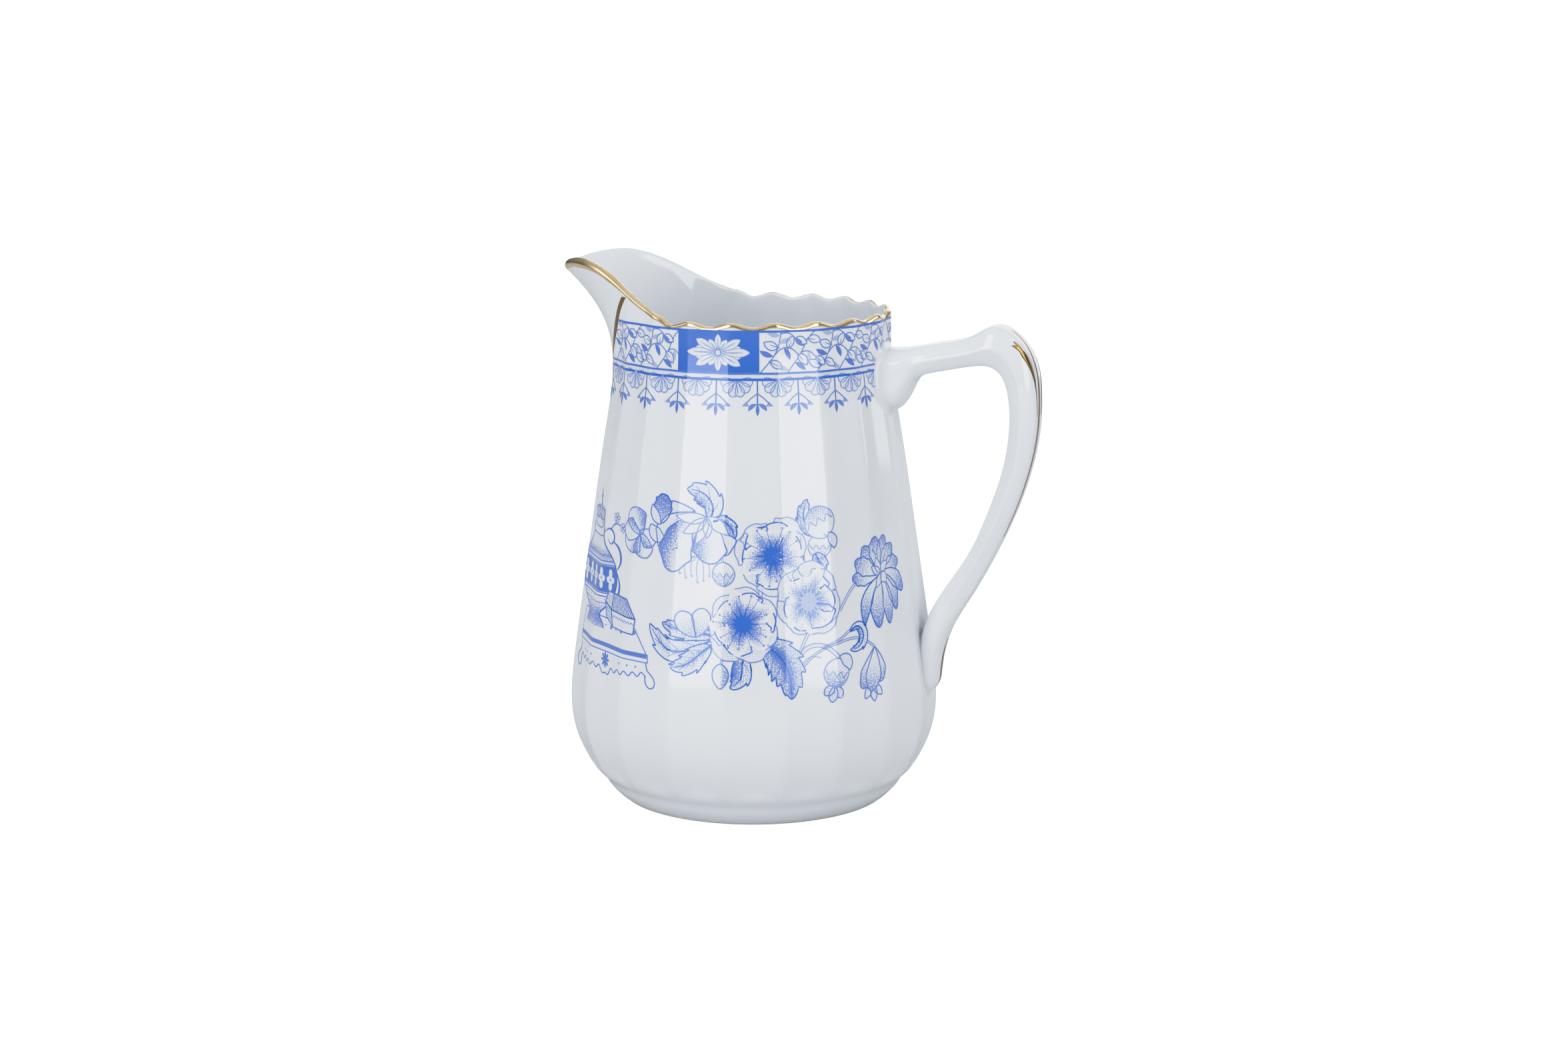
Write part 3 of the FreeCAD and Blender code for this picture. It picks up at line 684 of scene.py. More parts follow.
def build_handle_gilding():
    # These strokes' gold is the darkened copy, with painted shade in its colour.
    spine = handle_stroke(7.7, 13.4, lambda t: 0.8 * uneven(t * 60.0, 21), swelling)
    mesh_piece("gilt_spine", *spine, [shade_darkened_gold], "gold", ["handle_spine_gilding"])
    tail = handle_stroke(16.4, 19.1, lambda t: 0.0 * t, swelling)
    mesh_piece("gilt_tail", *tail, [shade_darkened_gold], "gold", ["handle_tail_gilding"])
    for side, name in ((1.0, "left"), (-1.0, "right")):
        def along(t, shift=0.0, side=side):
            return side * (48.0 - 28.0 * t ** 0.8 + shift)
        parts = [handle_stroke(8.22, 10.6, along,
                               lambda t: 0.3 + 7.2 * ramp(t, -0.02, 0.16) * (1.0 - t) ** 0.75)]
        for start, shift in ((8.05, 5.0), (8.12, 0.4), (8.02, -4.4)):
            parts.append(handle_stroke(start, 8.7, lambda t, shift=shift: along(t * 0.2, shift * (1.0 - t)),
                                       lambda t: 0.3 + 2.4 * np.sin(math.pi * t) ** 0.5, 24))
        points, faces = joined(parts)
        if side < 0.0:
            faces = [face[::-1] for face in faces]
        mesh_piece("gilt_stroke_" + name, points, faces, [shade_darkened_gold], "gold", ["handle_stroke_" + name])


build_body()
build_handle()
build_fillet("upper_fillet", "upper_luting_slip", 0.0, 10.0, 1.6, 1.5)
build_fillet("lower_fillet", "lower_luting_slip", HANDLE_LENGTH, HANDLE_LENGTH - 22.0, 1.2, 1.1)
build_rim_gilding()
build_seam("gilt_seam_left", "lip_seam_gilding_left", 1.0)
build_seam("gilt_seam_right", "lip_seam_gilding_right", -1.0)
build_handle_gilding()


# ---------------------------------------------------------------- printed decoration
LAYER_LIFT = 0.03                 # of the lowest printed layer off the glaze
LAYER_STEP = 0.012                # between one layer and the next
NUDGE = 0.1                       # between shapes of one layer, as a share of that step
DOT_PITCH = 0.36                  # of the stipple
LINE_WEIGHT = 1.32                # drawn widths and inks are multiplied by these
LINE_INK = 1.25
LINE_STEP = 0.42                  # between the points of a drawn line
NECK_RADIUS = 29.0
TINY_AREA = 1e-5                  # twice a face's area in the flat, below which it is left out


class Transfer:
    """Printed shapes drawn in the flat, u along the wall and v up it in mm, later laid on the jug."""

    def __init__(self):
        self.points = []
        self.faces = []
        self.levels = []
        self.tones = []
        self.shades = []
        self.count = 0
        self.nudge = 0.0

    def grid(self, rows, level, tone=0.0, shade=0.0):
        """Sheet through a grid of flat points; tone and shade are single values or one for each point."""
        rows = np.asarray(rows, float)
        height, width = rows.shape[:2]
        self.points.append(rows.reshape(-1, 2))
        self.faces += grid_faces(height, width, start=self.count)
        self.count += height * width
        level = level + self.nudge
        for store, value in ((self.levels, level), (self.tones, tone), (self.shades, shade)):
            store.append(np.broadcast_to(value, (height, width)).reshape(-1))

    def line(self, points, width, level, tone=0.85, taper=(1.0, 1.0)):
        """Drawn line along a path; taper is its share of the width at each end."""
        points = resampled(np.asarray(points, float), LINE_STEP)
        t = np.linspace(0.0, 1.0, len(points))
        ends = np.interp(t, (0.0, 0.35, 0.65, 1.0), (taper[0], 1.0, 1.0, taper[1]))
        side = path_normals(points) * (width * LINE_WEIGHT / 2.0 * ends)[:, None]
        self.grid(np.stack([points - side, points + side], 1), level, min(tone * LINE_INK, 1.0))

    def dot(self, centre, radius, level, tone=0.9):
        turns = np.linspace(0.0, 2.0 * math.pi, 11)
        ring = np.stack([np.cos(turns), np.sin(turns)], 1)
        self.grid([centre + ring * radius * share for share in (0.05, 1.0)], level, tone)

    def blade(self, middle, left, right, level, tone, shade, outline, ink, across=4):
        """Leaf or petal: a middle line and two edges with as many points, filled and outlined.

        Each one lies a little above the last and rises along its length, so that shapes of one level
        and the folds of one shape never share a surface.
        """
        self.nudge = (self.nudge + NUDGE) % (5.0 * NUDGE)
        rise = NUDGE * 4.5 * np.linspace(0.0, 1.0, len(middle))[:, None]
        columns = np.linspace(-1.0, 1.0, 2 * across + 1)
        rows = []
        for s in columns:
            edge = left if s < 0.0 else right
            rows.append(middle + (edge - middle) * abs(s))
        rows = np.stack(rows, 1)
        if callable(shade):
            t = np.linspace(0.0, 1.0, len(middle))[:, None]
            shade = np.clip(shade(t, columns[None, :]), 0.0, 1.0)
        self.grid(rows, level + rise, tone, shade)
        if outline > 0.0:
            for edge in (left, right):
                self.line(edge, outline, level + 0.6, ink)


def resampled(points, step):
    """The same path with points about one step apart."""
    gaps = np.hypot(*np.diff(points, axis=0).T)
    along = np.concatenate([[0.0], np.cumsum(gaps)])
    count = max(int(along[-1] / step) + 2, 3)
    where = np.linspace(0.0, along[-1], count)
    return np.stack([np.interp(where, along, points[:, k]) for k in range(2)], 1)


def path_normals(points):
    ahead = np.gradient(points, axis=0)
    ahead /= np.maximum(np.linalg.norm(ahead, axis=1, keepdims=True), 1e-9)
    return np.stack([-ahead[:, 1], ahead[:, 0]], 1)


# Ways a shape is stippled, over its length t from 0 to 1 and across it, s from -1 to 1.
def from_base(dark, reach=0.5):
    return lambda t, s: dark * np.exp(-(t / reach) ** 2) + 0.0 * s


def to_tip(dark, start=0.35):
    return lambda t, s: dark * ramp(t, start, 1.0) + 0.0 * s


def one_side(dark, side=1.0, pale=0.1):
    return lambda t, s: pale + dark * ramp(s * side, -0.3, 1.0) * (0.4 + 0.6 * np.sin(math.pi * t))


def by_rib(dark, pale=0.2):
    return lambda t, s: pale + dark * np.exp(-(s / 0.35) ** 2) * (1.0 - 0.4 * t) + 0.12 * ramp(s, 0.0, 1.0)


def petal(art, base, tip, width, level=1.0, bend=0.0, widest=0.6, blunt=0.65, waves=0, wave=0.08,
          tone=0.05, shade=0.0, outline=0.2, ink=0.7, count=26):
    """Petal from its base to its tip; waves frill the outer half of its edge."""
    base = np.asarray(base, float)
    span = np.asarray(tip, float) - base
    length = math.hypot(*span)
    normal = np.array([-span[1], span[0]]) / length
    t = 0.5 * (1.0 - np.cos(math.pi * np.linspace(0.0, 1.0, count)))
    middle = base + t[:, None] * span + (4.0 * t * (1.0 - t) * bend * length)[:, None] * normal
    power = math.log(0.5) / math.log(widest)
    half = width / 2.0 * np.sin(math.pi * t ** power) ** blunt
    frill = 1.0 + wave * np.sin(2.0 * math.pi * waves * t) * ramp(t, 0.25, 0.6)
    side = path_normals(middle)
    edges = [middle + side * (half * frill * sign)[:, None] for sign in (1.0, -1.0)]
    if waves:
        fade = ramp(t, 0.5, 0.9) * (1.0 - ramp(t, 0.93, 1.0))
        push = wave * length * 0.35 * np.cos(2.0 * math.pi * waves * t) * fade
        edges = [edge + push[:, None] * span / length for edge in edges]
    across = 3 if width < 2.5 else 5
    art.blade(middle, edges[0], edges[1], level, tone, shade, outline, ink, across)


def toothed_leaf(art, path, width, level=1.0, teeth=5, bite=0.3, shade=None, ink=0.8, veins=True):
    """Leaf along a path, its edges cut into forward-pointing teeth, with a midrib and side veins."""
    count = 64
    middle = smooth_path(path, count)
    t = np.linspace(0.0, 1.0, count)
    length = float(np.sum(np.hypot(*np.diff(middle, axis=0).T)))
    side = path_normals(middle)
    ahead = np.stack([side[:, 1], -side[:, 0]], 1)
    half = width / 2.0 * np.sin(math.pi * t ** 0.85) ** 0.75
    edges = []
    for sign, shift in ((1.0, 0.0), (-1.0, 0.45)):
        saw = np.mod(t * teeth + shift, 1.0)
        cut = 1.0 - bite * (1.0 - saw ** 1.5) * ramp(t, 0.05, 0.2)
        push = saw ** 2 * length / teeth * 0.45 * (half / (width / 2.0))
        fade = 1.0 - ramp(t, 0.9, 1.0)
        edges.append(middle + side * (half * cut * sign)[:, None] + ahead * push[:, None] * fade[:, None])
    art.blade(middle, edges[0], edges[1], level, 0.06, shade or by_rib(0.75), 0.2, ink, 5)
    art.line(middle[:-4], 0.26, level + 0.7, ink, (1.3, 0.3))
    if veins:
        for k in range(1, teeth):
            i = int(count * (k - 0.25) / teeth)
            j = min(i + int(0.62 * count / teeth), count - 1)
            for edge in edges:
                end = middle[j] + (edge[j] - middle[j]) * 0.72
                bend = (middle[i] + end) / 2.0 - ahead[i] * 0.12
                art.line([middle[i], bend, end], 0.13, level + 0.7, ink * 0.75, (1.2, 0.4))


def plain_leaf(art, base, angle, length, width, kind, level=1.0):
    """Little leaf of the border: 'open' is outlined with a midrib, 'dark' and 'mid' are solid."""
    turn = math.radians(angle)
    base = np.asarray(base, float)
    tip = base + length * np.array([math.cos(turn), math.sin(turn)])
    if kind == "open":
        petal(art, base, tip, width, level, 0.05, 0.46, 0.85, tone=0.07, outline=0.18, ink=0.7, count=18)
        art.line([base - (tip - base) * 0.12, base + (tip - base) * 0.55], 0.15, level + 0.7, 0.7, (1.0, 0.5))
    else:
        strength = 0.92 if kind == "dark" else 0.5
        petal(art, base, tip, width, level, 0.07, 0.5, 0.95, tone=strength, outline=0.0, count=16)


def round_bud(art, centre, radius, angle, level=1.0, shade=0.5, frill=3, ink=0.6):
    """Closed bud, round, its sepals cut in points over the stippled half."""
    turn = math.radians(angle)
    ahead = np.array([math.cos(turn), math.sin(turn)])
    side = np.array([-ahead[1], ahead[0]])
    centre = np.asarray(centre, float)
    petal(art, centre - ahead * radius, centre + ahead * radius, radius * 1.95, level, 0.0, 0.5, 0.5,
          shade=to_tip(shade, 0.25), ink=ink, outline=0.19)
    steps = np.linspace(-0.86, 0.86, 2 * frill + 1)
    zigzag = [centre + side * radius * s + ahead * radius * (0.32 if k % 2 else -0.12)
              for k, s in enumerate(steps)]
    art.line(zigzag, 0.17, level + 0.7, ink)


def heart_of_flower(art, centre, spread, core, level, tone, spikes, squash, seed):
    """Stippled heart of an open flower with a solid ragged core and a ring of stamens."""
    rng = random.Random(seed)
    centre = np.asarray(centre, float)
    turns = np.linspace(0.0, 2.0 * math.pi, 49)
    ring = np.stack([np.cos(turns) * squash, np.sin(turns)], 1)
    lobes = 1.0 + 0.16 * np.sin(5.0 * turns + seed) + 0.10 * np.sin(9.0 * turns + 2.0 * seed)
    radii = np.linspace(0.05, 1.0, 9)
    rows = [centre + ring * (spread * share * lobes)[:, None] for share in radii]
    fade = np.array([0.95 * (1.0 - ramp(share, 0.25, 1.0)) for share in radii])
    art.grid(rows, level, 0.0, np.repeat(fade[:, None], 49, 1))
    tips = []
    for k in range(4 * spikes + 1):
        turn = 2.0 * math.pi * k / (4 * spikes)
        reach = (1.0, 0.66, 0.58, 0.66)[k % 4] * core
        if k % 4 == 0:
            reach *= rng.uniform(0.85, 1.5)
        tips.append([math.cos(turn) * squash * reach, math.sin(turn) * reach])
    tips[-1] = tips[0]
    art.grid([centre + np.array(tips) * share for share in (0.04, 0.55, 1.0)], level + 1.0, tone)
    for k in range(spikes):
        turn = 2.0 * math.pi * (k + rng.uniform(-0.25, 0.25)) / spikes
        way = np.array([math.cos(turn) * squash, math.sin(turn)])
        end = centre + way * spread * rng.uniform(0.82, 1.05)
        art.line([centre + way * core * 0.9, end], 0.12, level + 0.8, 0.6 * tone, (1.0, 0.6))
        art.dot(end, 0.24, level + 0.9, 0.8 * tone)


def open_flower(art, centre, radius, level, core, tone, seed, squash=1.0):
    """Open flower: a ring of frilled back petals, a ring of front petals and its heart."""
    rng = random.Random(seed)
    centre = np.asarray(centre, float)
    rings = ((0, 7, 1.0, 0.86, 0.16, 0.6375), (1, 6, 0.80, 0.92, 0.2, 0.85))
    for ring, count, reach, width, outline, ink in rings:
        for k in range(count):
            turn = 2.0 * math.pi * (k + 0.5 * ring + rng.uniform(-0.16, 0.16)) / count + seed
            way = np.array([math.cos(turn) * squash, math.sin(turn)])
            far = radius * reach * rng.uniform(0.88, 1.06)
            lean = rng.uniform(-0.06, 0.06)
            waves = rng.choice((3, 4))
            wave = rng.uniform(0.05, 0.11)
            shade = one_side(0.22, rng.choice((-1.0, 1.0)), 0.0) if ring else from_base(0.3, 0.8)
            base = centre + way * radius * 0.12
            petal(art, base, centre + way * far, far * width, level + ring + 0.15 * (k % 2), lean, 0.66, 0.55,
                  waves, wave, shade=shade, outline=outline, ink=ink, count=34)
    heart_of_flower(art, centre, radius * 0.74, core, level + 2.0, tone, 14, squash, seed)


def stem(art, path, width, level=0.0, ink=0.65):
    """Stalk drawn with two lines and a pale wash between them."""
    middle = resampled(smooth_path(path, 40), 0.5)
    side = path_normals(middle) * width / 2.0
    art.grid(np.stack([middle - side, middle + side], 1), level, 0.16)
    art.line(middle - side, 0.14, level + 0.5, ink)
    art.line(middle + side, 0.14, level + 0.5, ink)


def draw_spray(art):
    """Flower spray of the near side, drawn about the middle line of the decoration."""
    # stalks behind the flowers
    for width, path in (
            (0.8, [(-9.4, 63.8), (-6.0, 62.0), (-3.2, 59.6), (-0.6, 56.0)]),
            (0.35, [(-7.3, 60.6), (-6.6, 58.2), (-6.2, 55.9)]),
            (0.75, [(1.2, 53.4), (1.4, 51.4), (1.2, 48.8)]),
            (0.5, [(18.0, 45.6), (20.4, 48.8), (23.4, 51.2), (28.4, 51.9)]),
            (0.75, [(8.4, 36.4), (11.2, 38.9), (14.6, 38.9), (17.6, 36.6)]),
            (0.4, [(9.0, 33.8), (12.4, 37.2), (18.0, 39.4), (23.6, 39.4), (26.8, 37.4)]),
            (0.4, [(14.2, 38.6), (18.0, 40.0), (20.8, 41.6)]),
            (0.55, [(9.4, 38.0), (10.6, 40.6), (11.8, 42.6)]),
            (0.35, [(-5.4, 38.6), (-6.4, 37.0), (-6.7, 35.3)])):
        stem(art, path, width)
    art.line(smooth_path([(9.6, 35.4), (11.6, 37.0), (14.0, 36.6)], 12), 0.16, 0.5, 0.5)

    # leaves behind the flowers
    toothed_leaf(art, [(-8.6, 40.6), (-12.6, 38.6), (-17.6, 38.0), (-22.6, 42.6)], 5.4, 1.0, 4, 0.22,
                 shade=by_rib(0.45, 0.08))
    toothed_leaf(art, [(-8.8, 39.4), (-11.4, 37.4), (-14.0, 35.4), (-17.4, 34.6)], 5.2, 2.0, 4, 0.25,
                 shade=by_rib(0.55, 0.16))
    toothed_leaf(art, [(-8.4, 41.4), (-12.0, 42.0), (-16.0, 42.4), (-19.4, 43.2)], 4.6, 3.0, 4, 0.25,
                 shade=by_rib(0.6, 0.22))
    for side, tip in ((-1.0, (-15.1, 45.9)), (1.0, (-10.8, 46.7))):
        petal(art, (-11.9, 40.9), tip, 4.0, 4.0 + 0.2 * side, -0.08 * side, 0.66, 0.5,
              shade=from_base(0.55, 0.55))
    toothed_leaf(art, [(1.0, 40.4), (4.2, 38.4), (6.8, 34.8), (7.6, 28.9)], 8.4, 1.0, 6, 0.28,
                 shade=by_rib(1.0, 0.34), ink=0.95)
    toothed_leaf(art, [(-1.6, 38.4), (-2.4, 35.6), (-2.6, 33.4), (-4.8, 31.2)], 4.4, 2.0, 3, 0.18,
                 shade=one_side(0.7, 1.0, 0.25))
    petal(art, (-6.7, 36.0), (-6.9, 31.0), 3.4, 2.0, 0.0, 0.45, 0.7, shade=one_side(0.5, -1.0), ink=0.7)
    toothed_leaf(art, [(12.6, 57.4), (13.6, 55.6), (14.4, 53.4)], 3.6, 1.0, 3, 0.2, shade=by_rib(0.7, 0.3))

    # drooping flower with its leafy calyx
    for base, tip, width, bend, side, level in (
            ((-12.0, 65.8), (-19.6, 62.2), 5.2, -0.18, -1.0, 1.0),
            ((-12.0, 65.6), (-19.4, 57.4), 6.4, -0.12, -1.0, 1.6),
            ((-11.6, 65.4), (-17.2, 53.6), 7.4, -0.10, 1.0, 2.2),
            ((-9.8, 65.0), (-6.2, 57.4), 5.2, 0.16, 1.0, 2.2),
            ((-10.4, 65.2), (-9.2, 55.6), 7.2, 0.06, 1.0, 3.0)):
        petal(art, base, tip, width, level, bend, 0.68, 0.6, waves=3, wave=0.07,
              shade=one_side(0.8, side, 0.06), ink=0.72, count=34)
    for k, reach in enumerate((53.4, 52.6, 53.0, 51.8, 52.2, 53.2)):
        u = -15.4 + 1.25 * k
        art.line(smooth_path([(-12.0 + 0.3 * k, 57.0), (u, 55.4), (u + 0.1, reach)], 12), 0.13, 1.0, 0.5)
        art.dot((u + 0.1, reach), 0.26, 1.2, 0.6)
    for tip, width in (((-16.0, 64.8), 2.2), ((-14.6, 61.4), 2.2), ((-12.0, 59.4), 2.0),
                       ((-9.6, 60.6), 2.0), ((-5.0, 61.4), 2.4)):
        petal(art, (-9.6, 64.6), tip, width, 4.0, 0.05, 0.45, 0.9, ink=0.6, shade=0.05)
    toothed_leaf(art, [(-9.0, 64.2), (-8.2, 66.6), (-9.6, 69.0), (-13.6, 70.2)], 5.6, 3.6, 4, 0.26,
                 shade=one_side(0.6, -1.0, 0.15))
    toothed_leaf(art, [(-8.2, 64.0), (-6.4, 64.2), (-4.6, 63.0), (-3.8, 60.8)], 2.8, 3.8, 3, 0.2,
                 shade=by_rib(0.6, 0.3))

    # small flower and buds beside it
    for base, tip, width, side in (
            ((-24.6, 60.0), (-27.0, 65.2), 5.4, 1.0), ((-25.0, 60.2), (-29.8, 61.4), 4.6, 1.0),
            ((-25.2, 60.6), (-28.6, 56.6), 5.2, -1.0), ((-25.0, 60.4), (-24.6, 55.4), 4.6, 1.0),
            ((-25.4, 60.6), (-21.8, 58.2), 4.0, 1.0)):
        petal(art, base, tip, width, 1.0 + 0.3 * side, 0.05 * side, 0.64, 0.5, waves=2, wave=0.05,
              shade=one_side(0.7, side, 0.02), ink=0.68)
    petal(art, (-22.4, 62.4), (-18.9, 60.0), 3.0, 1.8, -0.2, 0.5, 0.7, shade=0.12)
    petal(art, (-19.8, 62.8), (-19.0, 68.6), 4.4, 1.4, 0.0, 0.62, 0.45, waves=4, wave=0.10,
          shade=lambda t, s: 0.35 + 0.5 * ramp(t, 0.1, 0.8) + 0.0 * s, ink=0.85)
    petal(art, (-20.0, 62.6), (-22.0, 66.4), 2.0, 2.0, 0.1, 0.45, 0.9, shade=0.1)
    stem(art, [(-20.0, 62.9), (-18.8, 61.6), (-16.6, 61.8)], 0.45, 0.4)
    round_bud(art, (-6.1, 53.7), 2.35, -90.0, 1.0, 0.6)

    # bud cluster at the upper right
    toothed_leaf(art, [(12.0, 61.0), (10.6, 63.2), (10.2, 65.4), (11.0, 68.2)], 3.4, 1.0, 4, 0.25,
                 shade=one_side(0.5, -1.0, 0.15))
    round_bud(art, (13.6, 63.5), 3.3, 115.0, 1.6, 0.6)
    round_bud(art, (13.6, 58.8), 2.5, -95.0, 1.0, 0.5)
    petal(art, (15.4, 61.4), (16.8, 58.2), 2.0, 1.8, 0.1, 0.5, 0.8, shade=0.15)

    # three open flowers
    open_flower(art, (3.9, 57.3), 7.9, 2.0, 3.0, 1.0, 3, 1.02)
    open_flower(art, (11.3, 47.9), 7.6, 4.0, 3.0, 0.55, 8, 0.90)
    open_flower(art, (-2.2, 43.9), 7.8, 5.0, 2.8, 1.0, 5)

    # drooping many-petalled flower
    for tip, width in (((22.2, 55.0), 3.6), ((24.2, 57.6), 3.4), ((27.2, 59.2), 3.6), ((30.6, 59.0), 3.4),
                       ((33.4, 56.8), 3.6), ((35.4, 53.2), 3.6), ((21.4, 51.6), 3.2)):
        petal(art, (28.6, 51.6), tip, width, 1.0 + 0.25 * (width > 3.5), 0.04, 0.68, 0.6, waves=4, wave=0.10,
              shade=to_tip(0.75, 0.3), ink=0.75)
    for tip, width, bend in (((36.6, 47.0), 3.2, 0.14), ((34.4, 43.6), 3.0, 0.12), ((24.6, 42.2), 2.6, -0.14),
                             ((31.8, 41.2), 3.4, 0.06), ((28.2, 41.0), 3.8, -0.05)):
        petal(art, (28.9, 51.8), tip, width, 2.0 + 0.2 * (bend > 0.1), bend, 0.62, 0.7, waves=2, wave=0.05,
              shade=to_tip(0.85, 0.25), ink=0.8, count=34)
    for tip, width in (((26.2, 53.4), 1.6), ((27.4, 55.0), 1.8), ((31.4, 53.8), 1.8), ((30.8, 49.6), 2.2),
                       ((27.4, 49.0), 1.6)):
        petal(art, (28.8, 51.8), tip, width, 3.0, 0.05, 0.45, 0.9, ink=0.65, shade=0.04)

    # curled bud and two hanging buds at the lower right
    curl = [(20.6, 41.2), (22.6, 42.0), (24.0, 40.2), (22.6, 37.8), (20.6, 37.6)]
    toothed_leaf(art, curl, 2.4, 1.0, 3, 0.12,
                 shade=one_side(0.6, 1.0, 0.2), veins=False)
    round_bud(art, (17.3, 33.4), 2.9, -100.0, 1.0, 0.75)
    for tip in ((14.6, 29.2), (16.2, 27.6), (18.4, 28.4)):
        petal(art, (16.8, 30.9), tip, 1.9, 0.6, 0.0, 0.55, 0.7, shade=0.2)
    petal(art, (17.8, 36.6), (20.4, 33.6), 2.4, 1.6, 0.2, 0.5, 0.8, shade=0.1)
    for tip, width, side in (((23.6, 29.4), 3.2, -1.0), ((28.2, 30.2), 3.2, 1.0), ((25.9, 28.6), 3.6, 1.0)):
        petal(art, (26.8, 37.4), tip, width, 1.0 + 0.5 * (width > 3.4), 0.03, 0.66, 0.55, waves=2, wave=0.05,
              shade=to_tip(0.7, 0.3), ink=0.7)
    for tip in ((24.4, 27.2), (26.8, 26.4), (28.6, 27.6)):
        petal(art, (26.2, 30.2), tip, 1.6, 0.6, 0.0, 0.55, 0.8, shade=0.15)


def mirrored(profile, axis):
    """Both sides of an upright shape: rows of (height, half width) as left and right edge paths."""
    profile = smooth_path(profile, 60)
    left = np.stack([axis - profile[:, 1], profile[:, 0]], 1)
    right = np.stack([axis + profile[:, 1], profile[:, 0]], 1)
    return left, right


def filled_box(art, corners, level, tone=0.0, shade=0.0, outline=0.18, ink=0.7):
    """Four-sided patch given by its corners in turn, filled and outlined."""
    a, b, c, d = [np.asarray(p, float) for p in corners]
    rows = []
    count = max(3, int(math.dist(a, b) / 0.5) + 2, int(math.dist(d, c) / 0.5) + 2)
    for s in np.linspace(0.0, 1.0, max(3, int(math.dist(a, d) / 0.5) + 2)):
        start = a + (d - a) * s
        end = b + (c - b) * s
        rows.append(start + (end - start) * np.linspace(0.0, 1.0, count)[:, None])
    art.grid(rows, level, tone, shade)
    if outline > 0.0:
        for first, last in ((a, b), (b, c), (c, d), (d, a)):
            art.line([first, last], outline, level + 0.6, ink)


